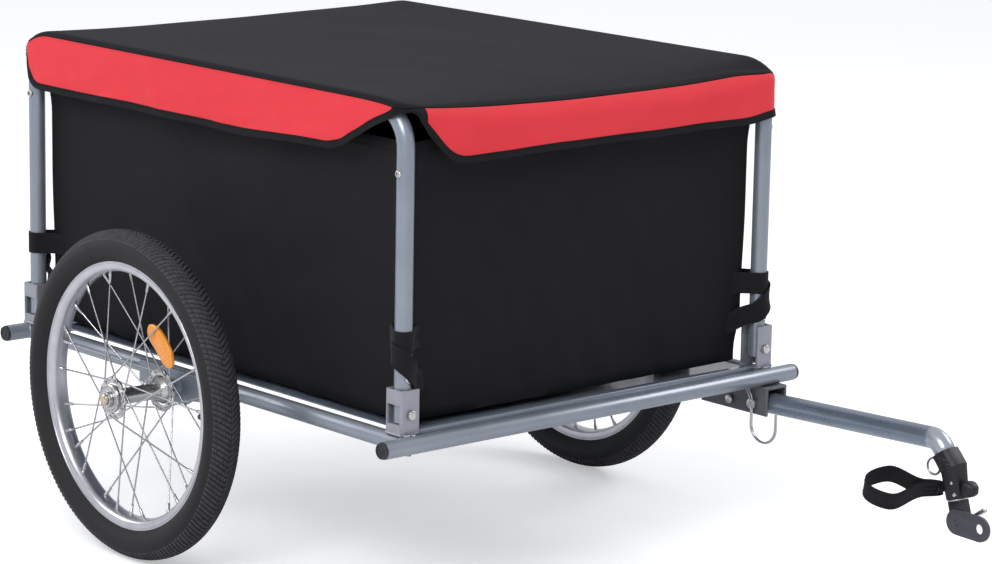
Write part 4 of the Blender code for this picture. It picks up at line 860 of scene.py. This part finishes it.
def make_wheels():
    for label, side in SIDES.items():
        name, body = f"{label}_wheel", f"{label}_wheel_body"
        centre = Vector((AXLE_X, side * WHEEL_Y, AXLE_Z))
        make_tyre(name, body, centre)
        make_rim(name, body, centre)
        make_hub(name, body, side, centre)
        make_reflector(name, body, centre)
        for end in ("inner", "outer"):
            dressed(f"{name}_{end}_bearing", body, "bright_steel", 0.0003)
        low, high = low_high(f"{name}_valve")
        valve = bmesh.new()
        stem = [(0.0012, 0.0), (0.0030, 0.0004), (0.0034, 0.0016), (0.0036, 0.0075), (0.0030, 0.0082),
                (0.0026, high.x - low.x)]
        add_lathe(valve, stem, 24, (low.x, (low.y + high.y) / 2, (low.z + high.z) / 2), FORWARD, LEFT)
        place(f"{name}_valve_cap", valve, body, "black_plastic", [f"{name}_valve"])
        dressed(f"{label}_axle", f"{label}_axle_body", "bright_steel", 0.0005)
        dressed(f"{label}_release_button", f"{label}_button_body", "nickel", above=12)


# Cloth helpers
STITCH_LENGTH, STITCH_PITCH, STITCH_THICKNESS = 0.0026, 0.0038, 0.0007
# A place in the bag and under the cover, which their cloth faces away from
INSIDE = Vector((AXLE_X, 0, 0.4))


def smooth_step(value):
    value = min(max(value, 0.0), 1.0)
    return value * value * (3 - 2 * value)


def ripple(u, v, seed):
    """A few slow folds, always the same for the same place."""
    return (sin(u * 9.1 + seed) * cos(v * 7.3 + seed * 1.7) + 0.6 * sin(u * 17.3 + v * 5.1 + seed * 2.3)
            + 0.35 * sin(v * 23.7 - u * 11.9 + seed * 0.9)) / 1.95


def rounded_walk(front, rear, half, radii, steps, spacing):
    """Stations round a rectangle from its left front corner: place, way out, corner, share and run. Share is the
    share of the corner's bend, where run is 0, or else of the straight run that follows, where run is its length.
    """
    middles = [Vector((front - radii[0], half - radii[0], 0)), Vector((rear + radii[1], half - radii[1], 0)),
               Vector((rear + radii[2], radii[2] - half, 0)), Vector((front - radii[3], radii[3] - half, 0))]
    for corner, middle in enumerate(middles):
        for k in range(steps + 1):
            angle = radians(90 * corner + 90 * k / steps)
            out = Vector((cos(angle), sin(angle), 0))
            spot = middle + out * radii[corner]
            yield spot, out, corner, k / steps, 0
        last = middles[(corner + 1) % 4] + out * radii[(corner + 1) % 4]
        run = (last - spot).length
        count = int(run / spacing)
        for k in range(1, count):
            yield spot.lerp(last, k / count), out, corner, k / count, run


def stitch_row():
    """Node group that lays one stitch at each point, along its way and with its back to the cloth."""
    tree, source, sink = new_group(
        "stitch_row", "GeometryNodeTree", {"Points": ("Geometry", None), "Length": ("Float", None),
                                           "Thickness": ("Float", None), "Finish": ("Material", None)},
        {"Stitches": ("Geometry", None)})
    thread = add(tree, "GeometryNodeMeshIcoSphere", {"Subdivisions": 2})
    sides = {axis: math_node(tree, "MULTIPLY", source[label], 0.5)
             for axis, label in (("X", "Length"), ("Y", "Thickness"), ("Z", "Thickness"))}
    shaped = add(tree, "GeometryNodeTransform",
                 {"Geometry": thread, "Scale": add(tree, "ShaderNodeCombineXYZ", sides)})
    turn = {}
    for label, axis, pivot in (("out", "Z", "AUTO"), ("way", "X", "Z")):
        vector = add(tree, "GeometryNodeInputNamedAttribute", {"Name": label}, "Attribute",
                     data_type="FLOAT_VECTOR")
        turn = {"Rotation": add(tree, "FunctionNodeAlignRotationToVector", {"Vector": vector, **turn}, axis=axis,
                                pivot_axis=pivot)}
    lay_copies(tree, sink, source["Points"], shaped, turn["Rotation"], source["Finish"])
    return tree


STITCH_ROW = stitch_row()


def stitches(name, rows, body, finish):
    """Lay stitches along rows of (point, way out of the cloth)."""
    places, ways, outs = [], [], []
    for row in rows:
        left = STITCH_PITCH / 2
        for (a, out_a), (b, out_b) in zip(row, row[1:]):
            run = (b - a).length
            while left < run:
                places.append(a.lerp(b, left / run))
                ways.extend((b - a).normalized())
                outs.extend(out_a.lerp(out_b, left / run).normalized())
                left += STITCH_PITCH
            left -= run
    data = bpy.data.meshes.new(f"{name}_points")
    data.from_pydata(places, [], [])
    for label, values in (("way", ways), ("out", outs)):
        data.attributes.new(label, "FLOAT_VECTOR", "POINT").data.foreach_set("vector", values)
    whole = passed_through(name, data, STITCH_ROW, {"Length": STITCH_LENGTH, "Thickness": STITCH_THICKNESS,
                                                    "Finish": FINISHES[finish]})
    return settle(name, whole, body, (), 0)


def finish_sheet(mesh, thickness):
    """Turn a single layer of cloth outwards, map it and give it its thickness inwards."""
    bmesh.ops.triangulate(mesh, faces=[f for f in mesh.faces if len(f.verts) > 4])
    bmesh.ops.recalc_face_normals(mesh, faces=mesh.faces)
    mesh.normal_update()
    if sum(f.normal.dot(f.calc_center_median() - INSIDE) * f.calc_area() for f in mesh.faces) < 0:
        bmesh.ops.reverse_faces(mesh, faces=mesh.faces)
    lay_map(mesh)
    mesh.normal_update()
    layer = mesh.loops.layers.uv["cloth"]
    outer = list(mesh.faces)
    inner = {v: mesh.verts.new(v.co - v.normal * thickness) for v in list(mesh.verts)}
    rims = [e for e in mesh.edges if len(e.link_faces) == 1]

    def add_face(corners, loops, like):
        face = mesh.faces.new(corners)
        face.material_index = like.material_index
        for source, target in zip(loops, face.loops):
            target[layer].uv = source[layer].uv

    for face in outer:
        loops = list(face.loops)[::-1]
        add_face([inner[loop.vert] for loop in loops], loops, face)
    for edge in rims:
        near = edge.link_loops[0]
        far = near.link_loop_next
        add_face((far.vert, near.vert, inner[near.vert], inner[far.vert]), (far, near, near, far), near.face)
    mesh.normal_update()


# Cover
COVER_BOTTOM_Z = 0.515
COVER_BINDING = 0.0085
COVER_CLOTH = 0.0013
COVER_FOLD, COVER_END_FOLD = 0.0085, 0.0252
COVER_BEND = 0.055
COVER_STAND_OFF = 0.0030
COVER_SEAM_GROOVE = 0.0017
COVER_OVERHANG = 0.012
COVER_SAG, FRONT_SAG, REAR_SAG, END_SAG_RUN = 0.0045, 0.0150, 0.0035, 0.075
CORNER_DROP, NEAR_CORNER_DROP, NEAR_CORNER_RUN = 0.6, 0.009, 0.022
COVER_STEPS = 13
RIGHT_FRONT = 3
COVER_RADII = (0.016, 0.016, 0.016, 0.027)
# Per corner, from the left front one round: height of the edge there, then the edge's rise towards it on the end
# flap and on the side flap, each as pairs of (distance from the corner, share of the rise)
ROUNDED = [(0.036 * k / 8, 1 - sqrt(1 - (1 - k / 8) ** 2)) for k in range(9)]
SHORT_RISE = [(0.0, 1.0), (0.018, 0.62), (0.034, 0.2), (0.052, 0.0)]
COVER_LIFT = (
    (0.522, SHORT_RISE, SHORT_RISE), (0.528, SHORT_RISE, SHORT_RISE), (0.558, ROUNDED, ROUNDED),
    (0.577, [(0.014, 1.0), (0.018, 0.74), (0.050, 0.22), (0.064, 0.07), (0.080, 0.0)],
     [(0.002, 1.0), (0.019, 0.80), (0.047, 0.60), (0.075, 0.33), (0.100, 0.10), (0.125, 0.0)]))
COVER_RINGS = (0.98, 0.95, 0.91, 0.87, 0.82, 0.76, 0.70, 0.63, 0.56, 0.48, 0.40, 0.31, 0.22, 0.12)


def cover_height(x, y):
    """Height of the top cloth, which sags between the hoops and more at its two free edges."""
    across = min(abs(y) / POST_Y, 1)
    front_end, rear_end = FRONT_POST_X + COVER_OVERHANG - x, x - REAR_POST_X + COVER_OVERHANG
    end = max(min(front_end, rear_end), 0)
    sag = COVER_SAG + FRONT_SAG * exp(-max(front_end, 0) / END_SAG_RUN)
    sag += REAR_SAG * exp(-max(rear_end, 0) / END_SAG_RUN)
    slope = ripple(x * 1.3, y * 1.6, 2.0) * 0.0009 * (1 - across ** 6)
    if front_end > rear_end or y > 0:
        corner_drop = CORNER_DROP * (COVER_BEND - sqrt(COVER_BEND ** 2 - max(COVER_BEND - end, 0) ** 2))
    else:
        corner_drop = NEAR_CORNER_DROP * exp(-end / NEAR_CORNER_RUN)
    return HOOP_TOP_Z + TUBE_RADIUS + 0.0018 - sag * (1 - across ** 2.2) + slope - corner_drop * across ** 2


def cover_edge():
    """Stations round the cover: place, way out, distance to the nearest corner, that corner, whether on an end."""
    off = TUBE_RADIUS + COVER_STAND_OFF
    stations = []
    for spot, out, corner, share, run in rounded_walk(FRONT_POST_X + off, REAR_POST_X - off, POST_Y + off,
                                                      COVER_RADII, 12, 0.006):
        if run:
            corner = corner if share < 0.5 else (corner + 1) % 4
            distance, on_end = COVER_RADII[corner] * pi / 4 + min(share, 1 - share) * run, abs(out.x) > 0.5
        else:
            distance, on_end = COVER_RADII[corner] * radians(90 * abs(share * 12 - 6) / 12), corner % 2 == (share > 0.5)
        stations.append((spot, out, distance, corner, on_end))
    return stations


def cover_fold(out, distance, corner):
    """Radius of the fold and angle of the seam on it: tight along the hoops, wide over their bends."""
    facing = smooth_step(out.x ** 2)
    run = 0.10 if corner == RIGHT_FRONT else 0.06
    wide = facing * (1 - 0.65 * smooth_step(1 - (distance - 0.015) / run))
    return COVER_FOLD + (COVER_END_FOLD - COVER_FOLD) * wide, radians(62 - 27 * facing)


def edge_rise(rise, distance):
    """Share of the edge's rise at this distance from the corner."""
    for (near, high), (far, low) in zip(rise, rise[1:]):
        if distance <= near:
            return high
        if distance < far:
            return high + (low - high) * (distance - near) / (far - near)
    return rise[-1][1]


def cover_station(spot, out, distance, corner, on_end):
    """Heights of the fold's top, of the flap's bottom edge and of the binding's upper edge at one station."""
    lift, *rises = COVER_LIFT[corner]
    bottom = COVER_BOTTOM_Z + 0.0016 * ripple(spot.x * 2.2, spot.y * 2.2, 5.0)
    if corner == RIGHT_FRONT:
        bottom += (-0.004 if on_end else 0.008) * smooth_step(1 - distance / 0.28)
    rise = rises[0] if on_end else rises[1]
    share, further = (sum(edge_rise(rise, distance + at + step) for step in (-0.006, 0, 0.006)) / 3
                      for at in (0.0, 0.001))
    steep = (further - share) * (lift - bottom) / 0.001
    bottom += (lift - bottom) * share
    inner = spot - out * cover_fold(out, distance, corner)[0]
    return cover_height(inner.x, inner.y), bottom, bottom + COVER_BINDING * min(hypot(1, steep), 2.2)


def cover_rows(spot, out, distance, corner, on_end):
    """(offset outwards, height, material) down one station of the cover."""
    top, bottom, binding = cover_station(spot, out, distance, corner, on_end)
    fold, start = cover_fold(out, distance, corner)
    bend = fold * (pi / 2 - start)

    def folded(run, dent=0.0):
        """Offset and height at a run along the cloth from the seam, over the fold and down the flap."""
        if run > bend:
            z = top - fold - (run - bend)
            down = (run - bend) / 0.06
            wave = ripple(spot.x * 3.1 + spot.y * 2.3, z * 9, 1.0) * 0.0022
            wave += ripple(spot.x * 9 + spot.y * 7, z * 16, 4.0) * 0.0009
            return max(0.0022 * smooth_step(down) + wave * smooth_step(down * 1.4), 0.0), z
        angle = start + run / fold
        return -fold + (fold - dent) * sin(angle), top - fold + (fold - dent) * cos(angle)

    def run_to(z):
        if z < top - fold:
            return bend + top - fold - z
        return fold * (acos(min((z - top + fold) / fold, 1)) - start)

    rows = [(*folded(-fold * start * (1 - part)), 0) for part in (0, 0.3, 0.6, 0.85, 1.0)]
    rows += [(*folded(run, 0.0009), 2) for run in (0.0004, 0.0012)]
    red_end = max(run_to(binding), COVER_SEAM_GROOVE + 0.0012)
    edge = max(run_to(bottom), red_end + 0.003)
    kind = 1 if red_end > COVER_SEAM_GROOVE + 0.0015 else 2
    rows += [(*folded(COVER_SEAM_GROOVE + (red_end - COVER_SEAM_GROOVE) * k / COVER_STEPS), kind)
             for k in range(COVER_STEPS + 1)]
    for share, proud in ((0.03, 0.0007), (0.5, 0.0008), (1.0, 0.0006)):
        off, z = folded(red_end + (edge - red_end) * share)
        rows.append((off + proud, z, 2))
    return rows


def make_cover():
    """One sheet: charcoal top, red flaps that rise to the corners, black binding along their edge."""
    stations = cover_edge()
    profiles = [cover_rows(*station) for station in stations]
    mesh = bmesh.new()
    columns = [add_ring(mesh, [spot + out * off + UP * z for off, z, _ in rows])
               for (spot, out, *_), rows in zip(stations, profiles)]
    around = list(zip(range(len(stations)), [*range(1, len(stations)), 0]))
    for i, j in around:
        for k in range(len(columns[i]) - 1):
            face = mesh.faces.new((columns[i][k], columns[i][k + 1], columns[j][k + 1], columns[j][k]))
            kind = profiles[i][k + 1][2]
            face.material_index = kind if kind == profiles[j][k + 1][2] else 2
    centre_x = (sum((station[0] for station in stations), Vector()) / len(stations)).x
    half_length = (FRONT_POST_X - REAR_POST_X) / 2
    outer, inner = [column[0] for column in columns], []
    for share in COVER_RINGS:
        ring = []
        for spot, out, distance, corner, _ in stations:
            seam = spot - out * cover_fold(out, distance, corner)[0]
            inset = (1 - share) * POST_Y
            x = centre_x + (seam.x - centre_x) * (half_length - inset) / half_length
            y = seam.y * (POST_Y - inset) / POST_Y
            ring.append(mesh.verts.new((x, y, cover_height(x, y))))
        for i, j in around:
            mesh.faces.new((outer[i], outer[j], ring[j], ring[i]))
        inner += ring
        outer = ring
    mesh.faces.new(outer)
    bmesh.ops.remove_doubles(mesh, verts=inner, dist=0.0028)
    finish_sheet(mesh, COVER_CLOTH)
    cover = place("cover_cloth", mesh, "cover_body", ["top_cloth", "red_cloth", "binding"],
                  ["cover_top", "cover_flaps"], sharp=60, recalculate=False)
    for name, level, finish in (("cover_edge_stitches", -3, "black_cloth"),
                                ("cover_seam_stitches", 7, "red_cloth")):
        rows = [[]]
        for i in [*range(len(stations)), 0]:
            (spot, out, *_), (off, z, kind) = stations[i], profiles[i][level]
            if level > 0 and kind == 2:
                rows.append([])
            else:
                rows[-1].append((spot + out * (off + 0.0004) + UP * (z - 0.0012), out))
        stitches(name, [row for row in rows if len(row) > 2], "cover_body", finish)


# Bag
BAG_CLOTH = 0.0012
BAG_WALL_HALF = 0.2615
BAG_FRONT_X, BAG_REAR_X = FRONT_POST_X - 0.013, REAR_POST_X + 0.013
BAG_HEM_Z = 0.538
BAG_CORNER = 0.009
BAG_LEVELS = 34
HEM_SECTION = ((0.0006, 0.0008), (0.0012, -0.0002), (0.0012, -0.0130), (0.0004, -0.0138), (-0.0018, -0.0138),
               (-0.0018, 0.0008))


def bag_bottom(x, y, side_wall):
    """Height of the wall's lower fold, which is scalloped where the cloth is slack."""
    if side_wall:
        along = (x - BAG_REAR_X) / (BAG_FRONT_X - BAG_REAR_X)
        return BAG_FLOOR_Z + 0.004 + 0.006 * (sin(along * 9.4 + 0.6) * 0.5 + 0.5) * (1 - along * 0.4)
    along = (y + BAG_WALL_HALF) / (2 * BAG_WALL_HALF)
    return BAG_FLOOR_Z + 0.003 + 0.005 * (sin(along * 8.2 + 2.2) * 0.5 + 0.5)


def bag_spot(station, share):
    """A place on the bag's wall: share 0 is the lower fold and 1 the hem. A station is its place, its way out and
    how far it is from the corners, from 0 to 1."""
    spot, out, middle = station
    low = bag_bottom(spot.x, spot.y, abs(out.y) > 0.5)
    z = low + (BAG_HEM_Z - low) * share
    slack = middle ** 0.6
    near_corner = 1 - middle ** 0.25
    belly = 0.0035 * slack * sin(pi * min(share * 1.15, 1))
    wave = 0.0030 * slack * ripple(spot.x * 1.7 + spot.y * 1.9, z * 3.2, 3.0 + out.x * 2 + out.y)
    draw = 0.0022 * ripple(spot.x * 6 + spot.y * 7, z * 11, 7.0) * (1 - share) * slack
    pinch = -0.002 * near_corner * smooth_step(1 - abs(z - 0.30) / 0.11)
    pull = -0.0035 * (1 - share) ** 3 * (0.4 + 0.6 * slack)
    full = (0.0045 + 0.004 * smooth_step((z - 0.485) / 0.045)) * near_corner
    tuck = -0.007 * (1 - middle ** 0.3) * smooth_step((0.285 - z) / 0.05)
    return spot + out * (belly + wave + draw + pinch + pull + full + tuck) + UP * z


def bag_half(side):
    """The wall and floor of the bag on one side of its middle, in one layer."""
    walk = list(rounded_walk(BAG_FRONT_X, BAG_REAR_X, BAG_WALL_HALF, (BAG_CORNER,) * 4, 8, 0.009))
    kept = [i for i, station in enumerate(walk) if side * station[0].y > 0.0045]
    start = next(i for i in kept if (i - 1) % len(walk) not in kept)
    order = [(start + k) % len(walk) for k in range(len(kept))]
    stations = [(spot, out, sin(pi * share) if run else 0.0)
                for spot, out, _, share, run in (walk[i] for i in order)]
    ends = [(Vector((spot.x, 0, 0)), out, 1.0) for spot, out, _ in (stations[0], stations[-1])]
    stations = [ends[0], *stations, ends[1]]
    mesh = bmesh.new()
    columns = []
    for station in stations:
        wall = [bag_spot(station, k / BAG_LEVELS) for k in range(BAG_LEVELS + 1)]
        inner = wall[0] - station[1] * 0.006
        columns.append(add_ring(mesh, [Vector((inner.x, inner.y, BAG_FLOOR_Z + 0.0012)), *wall]))
    for first, second in zip(columns, columns[1:]):
        for k in range(BAG_LEVELS + 1):
            mesh.faces.new((first[k], first[k + 1], second[k + 1], second[k]))
    mesh.faces.new([column[0] for column in columns])
    finish_sheet(mesh, BAG_CLOTH)
    return mesh, stations


def make_bag():
    """The bag is two halves, each with its hem and stitches, that ride with the frame."""
    for name, side in SIDES.items():
        mesh, stations = bag_half(side)
        half = place(f"{name}_bag_half", mesh, "frame", "black_cloth", ["cargo_bag"] if side < 0 else (), sharp=60,
                     recalculate=False)
        hem = bmesh.new()
        add_solid(hem, [add_ring(hem, [bag_spot(s, 1) + s[1] * a + UP * b for a, b in HEM_SECTION])
                        for s in stations])
        map_cloth(hem)
        hem = place(f"{name}_bag_hem", hem, "frame", "binding")
        rows = [[(bag_spot(s, 1) + s[1] * 0.0015 - UP * drop, s[1]) for s in stations] for drop in (0.0035, 0.0115)]
        thread = stitches(f"{name}_bag_stitches", rows, "frame", "top_cloth")
        for piece in (half, hem, thread):
            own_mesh(piece)


# Webbing loops round the posts
LOOP_WIDTH, TAIL_WIDTH = 0.0255, 0.02346
LOOP_THICKNESS = 0.0014
LOOP_GRIP = TUBE_RADIUS + 0.0012
LOOP_Z, LOOP_END_Z = 0.320, 0.280
TAIL_GRIP = LOOP_GRIP + LOOP_THICKNESS + 0.0004


def band_ring(mesh, point, up, out, width, thickness, creases):
    """One section of webbing. Creases is a row of (share of the half width, rise)."""
    face = [point + up * (width / 2 * s) + out * (thickness / 2 + rise) for s, rise in creases]
    back = [point + up * (width / 2 * s) - out * (thickness / 2 - rise) for s, rise in creases]
    return add_ring(mesh, face + back[::-1])


def add_ribbon(mesh, path, width):
    """A band along a path, upright where the path lets it."""
    creases = [(s, 0) for s in (-1, -0.6, -0.2, 0.2, 0.6, 1)]
    add_solid(mesh, [band_ring(mesh, point, up, out, width, LOOP_THICKNESS, creases)
                     for point, _, up, out in frames_along(path, UP)])


def smooth_path(points, steps=2):
    """A curve through the points, rounded between them."""
    ends = [2 * points[0] - points[1]] + points + [2 * points[-1] - points[-2]]
    curve = []
    for a, b, c, d in zip(ends, ends[1:], ends[2:], ends[3:]):
        for k in range(steps):
            t = k / steps
            curve.append(0.5 * (2 * b + (c - a) * t + (2 * a - 5 * b + 4 * c - d) * t * t
                                + (3 * b - a - 3 * c + d) * t ** 3))
    return curve + [points[-1]]


def make_post_loop(name, side, end, x, way):
    """The band that ties the bag to one post, and the tail of it that slants down the wall."""
    across = name == "right" and end == "rear"

    def spot(along, outward, z):
        if across:
            along, outward = outward, along
        return Vector((x + way * along, side * (POST_Y + outward), z))

    def turned(radius, angle, z):
        return spot(radius * cos(angle), radius * sin(angle), z)

    band = [spot(-0.0142, -0.038, LOOP_Z), spot(-0.007, -0.021, LOOP_Z)]
    band += [turned(LOOP_GRIP, radians(d), LOOP_Z) for d in range(-60, 151, 15)]
    band += [spot(-0.020, -0.001, LOOP_Z), spot(-0.036, -0.0115, LOOP_Z)]
    turns = [radians(d) for d in (range(120, 231, 10) if across else range(150, -51, -10))]
    low, rise = (LOOP_END_Z, 0.028) if name == "right" else (LOOP_END_Z + 0.005, 0.026)
    tail = [turned(TAIL_GRIP, a, low + rise * sin(abs(turns[-1] - a) / 2)) for a in turns]
    tail += [spot(-0.006, -0.022, low - 0.006), spot(-0.0145, -0.042, LOOP_END_Z - 0.012)]
    mesh = bmesh.new()
    add_ribbon(mesh, smooth_path(band), LOOP_WIDTH)
    add_ribbon(mesh, smooth_path(tail), TAIL_WIDTH)
    map_cloth(mesh)
    place(f"{name}_{end}_post_loop", mesh, f"{name}_hoop_body", "webbing", sharp=50)
    rows = []
    for a, b in (band[:2], tail[-2:]):
        out = (b - a).cross(UP).normalized()
        out = out if out.dot(Vector((way, side, 0))) > 0 else -out
        rows += [[(a.lerp(b, share) + out * 0.0011 + UP * z, out) for share in (0.1, 0.85)]
                 for z in (-0.004, 0.0, 0.004)]
    stitches(f"{name}_{end}_loop_stitches", rows, f"{name}_hoop_body", "top_cloth")


def make_post_loops():
    for name, side in SIDES.items():
        make_post_loop(name, side, "front", FRONT_POST_X, 1)
        make_post_loop(name, side, "rear", REAR_POST_X, -1)


# Lock pin, drawbar and hitch
BAIL_WIRE = 0.0012
BAIL_HOOK_RISE = 0.039
LINK_WIRE = 0.0015
RIVETS = ((0.0105, 0.0235), (0.0155, 0.0105))
STRAP_THICKNESS = 0.0019
STRAP_WIDTH = 0.0295
STRAP_HALF, STRAP_REACH = 0.0435, 0.0215
STRAP_HEADING = radians(229)
STRAP_LEAN = radians(40)
STRAP_STEPS = 56
STRAP_NARROWING = 0.15
STRAP_CLOSED = 0.05
GATHER_SIZE = 0.0105
# Run of the bar's end that takes the painted highlight
BAR_HIGHLIGHT_RUN = 0.0301


def make_lock_pin():
    """The pin, its spring wire, and its bail, a doubled wire bent to a hook."""
    dressed("lock_pin", "lock_pin_body", "zinc")
    low, high = low_high("lock_pin_bail")
    pin_low, pin_high = low_high("lock_pin")
    left, right, y = low.x + BAIL_WIRE, high.x - BAIL_WIRE, (low.y + high.y) / 2
    half, top = (right - left) / 2, (pin_low.z + pin_high.z) / 2
    path = [Vector((left, y, top)), Vector((left, y, top - 0.012))]
    path += arc_points(((left + right) / 2, y, low.z + BAIL_WIRE + half), half, 180, 360, 24)
    path.append(Vector((right, y, low.z + BAIL_HOOK_RISE)))
    bail = bmesh.new()
    for shift in (-1, 1):
        add_tube(bail, [p + FORWARD * (shift * BAIL_WIRE * 0.85) for p in path],
                 [BAIL_WIRE] * (len(path) - 1) + [BAIL_WIRE * 0.8], 12)
    add_lathe(bail, [(BAIL_WIRE * 1.9, -0.0032), (BAIL_WIRE * 2.1, -0.0024), (BAIL_WIRE * 2.1, 0.0024),
                     (BAIL_WIRE * 1.9, 0.0032)], 18, path[0] - UP * 0.0006, LEFT, FORWARD)
    place("lock_pin_bail_wire", bail, "bail_body", "bright_steel", ["lock_pin_bail"])
    spring = bmesh.new()
    for shift in (-0.0021, 0.0021):
        turns = [Vector((left + ahead + shift, y - 0.0012, top + rise))
                 for ahead, rise in ((0.0, 0.0), (-0.0005, 0.007), (-0.0035, 0.013), (-0.0065, 0.0185))]
        add_tube(spring, smooth_path(turns, 6), BAIL_WIRE * 0.9, 12)
    place("lock_pin_spring_wire", spring, "lock_pin_body", "bright_steel")


def make_drawbar():
    """The painted bar, with a painted highlight where it bends down at its end: a lighter copy of its paint stands in
    for the light reflected off the flat top there.
    """
    start = low_high("drawbar")[1].x - BAR_HIGHLIGHT_RUN
    with_painted_light("drawbar", "drawbar_body", ["bar_paint", "bar_end_painted_highlight"], 0.0003, lambda middle: middle.x > start)


def make_coupler():
    """The moulded block with its lid lines and rivets, the washer and the link."""
    mesh = node_mesh("coupler_block")
    soften(mesh, 0.0014, 24, 3)
    low, high = low_high("coupler_block")
    middle_x = ((low + high) / 2).x
    for ahead, rise in RIVETS:
        add_lathe(mesh, [(0.0026, 0.0016), (0.0024, -0.0002), (0.0012, -0.0010)], 18,
                  (middle_x + ahead, low.y + 0.0018, low.z + rise), LEFT, FORWARD, 1)
    for k in range(4):
        spot = (middle_x + 0.001 - k * 0.0006, low.y + 0.0016, low.z + 0.036 + k * 0.0042)
        add_block(mesh, spot, (0.0085, 0.0014, 0.0005))
    place("coupler_block_moulding", mesh, "drawbar_body", ["black_plastic", "zinc"], ["coupler_block"])
    dressed("swivel_washer", "drawbar_body", "zinc", 0.0003)
    low, high = low_high("strap_link")
    centre, radius = (low + high) / 2, (high.z - low.z) / 2 - LINK_WIRE
    link = bmesh.new()
    rings = []
    for c, s in circle(40):
        out = Vector((c, 0, s))
        rings.append(add_ring(link, [centre + out * radius + (out * cos_a + LEFT * sin_a) * LINK_WIRE
                                     for cos_a, sin_a in circle(12)]))
    join_rings(link, rings, loop=True)
    place("strap_link_ring", link, "drawbar_body", "zinc", ["strap_link"])


def make_buckle():
    """The black knob that holds the strap's end: ribbed sides and a round nose."""
    low, high = low_high("strap_buckle")
    centre, half = (low + high) / 2, (high - low) / 2
    mesh = bmesh.new()
    rings = []
    for i in range(16):
        share = i / 15
        size = (0.86 + 0.14 * sin(pi * min(share * 1.3, 1))) * sqrt(max(0.02, 1 - share ** 5))
        size *= 1 - 0.05 * (i % 2) * (0.15 < share < 0.8)
        ring = []
        for c, s in circle(24):
            reach = size / (abs(c) ** 3.2 + abs(s) ** 3.2) ** (1 / 3.2)
            ring.append((low.x + 2 * half.x * share, centre.y + c * reach * half.y, centre.z + s * reach * half.z))
        rings.append(add_ring(mesh, ring))
    add_solid(mesh, rings)
    place("strap_buckle_knob", mesh, "drawbar_body", "black_plastic", ["strap_buckle"])


def make_safety_strap():
    """A leaf shaped loop of webbing, gathered where it enters the coupler."""
    low, high = low_high("safety_strap")
    away = Vector((cos(STRAP_HEADING), sin(STRAP_HEADING), 0))
    level = Vector((-away.y, away.x, 0))
    wide = (UP * cos(STRAP_LEAN) + level * sin(STRAP_LEAN)).normalized()
    across = wide.cross(away).normalized()
    centre = (low + high) / 2 + UP * 0.0025
    path, gathers = [], []
    for i in range(STRAP_STEPS):
        a = tau * i / STRAP_STEPS
        lift = sin(a) * (STRAP_CLOSED + (1 - STRAP_CLOSED) * smooth_step(cos(a) + 0.60))
        path.append(centre + away * (STRAP_HALF * cos(a)) + across * (STRAP_REACH * lift)
                    + wide * (0.0012 * sin(2 * a + 0.8)))
        gathers.append(smooth_step((-cos(a) - 0.35) / 0.6))
    widths = [STRAP_WIDTH * (1 - STRAP_NARROWING * gather) for gather in gathers]
    frames = frames_along(path, wide, loop=True)
    strap = bmesh.new()
    rings = []
    for i, (point, _, up, out) in enumerate(frames):
        creases = [(s, 0.0011 * smooth_step(gathers[i]) * sin(s * 11 + i * 0.25))
                   for s in (-1 + 2 * k / 14 for k in range(15))]
        rings.append(band_ring(strap, point, up, out, widths[i], STRAP_THICKNESS, creases))
    join_rings(strap, rings, loop=True)
    map_cloth(strap)
    place("safety_strap_webbing", strap, "drawbar_body", "webbing", ["safety_strap"], sharp=50)
    knot = bmesh.new()
    root = centre - away * (STRAP_HALF - 0.004)
    rings = []
    for i in range(17):
        share = i / 16
        spot = root - away * (0.016 * share) + UP * (0.002 * sin(share * 3))
        size = GATHER_SIZE + 0.0012 * sin(share * 26) - 0.0016 * share
        ring = []
        for k, (c, s) in enumerate(circle(28)):
            crease = 1 + 0.07 * sin(5 * tau * k / 28 + share * 7)
            ring.append(spot + level * (c * size * 0.62 * crease) + wide * (s * size * crease))
        rings.append(add_ring(knot, ring))
    add_solid(knot, rings)
    map_cloth(knot)
    place("safety_strap_gather", knot, "drawbar_body", "webbing", sharp=50)
    rows = []
    for share in (-0.36, 0.36):
        here = [(*frames[i], widths[i]) for i in range(-16, 17)]
        rows.append([(point + up * (width * share) + out * (STRAP_THICKNESS / 2 + 0.0002), out)
                     for point, _, up, out, width in here])
    stitches("safety_strap_stitches", rows, "drawbar_body", "top_cloth")


def make_hitch():
    """Leg, plate and bent pin. The pin's near end, where it lies in the plate, takes the dark steel finish as painted
    shade.
    """
    dressed("hitch_leg", "hitch_leg_body", "black_steel", 0.0014)
    dressed("hitch_plate", "hitch_plate_body", "dark_steel", 0.0009)
    face_y = low_high("hitch_plate")[1].y + 0.0005
    # The zinc pin is painted dark steel inside the plate: painted shade in the plate's hole
    with_painted_light("hitch_pin", "hitch_pin_body", ["zinc", "dark_steel"], 0.0004, lambda middle: middle.y < face_y)


# Every piece
make_camera()
make_stage()
make_frame()
make_hoops()
make_wheels()
make_cover()
make_bag()
make_post_loops()
make_lock_pin()
make_drawbar()
make_coupler()
make_buckle()
make_safety_strap()
make_hitch()
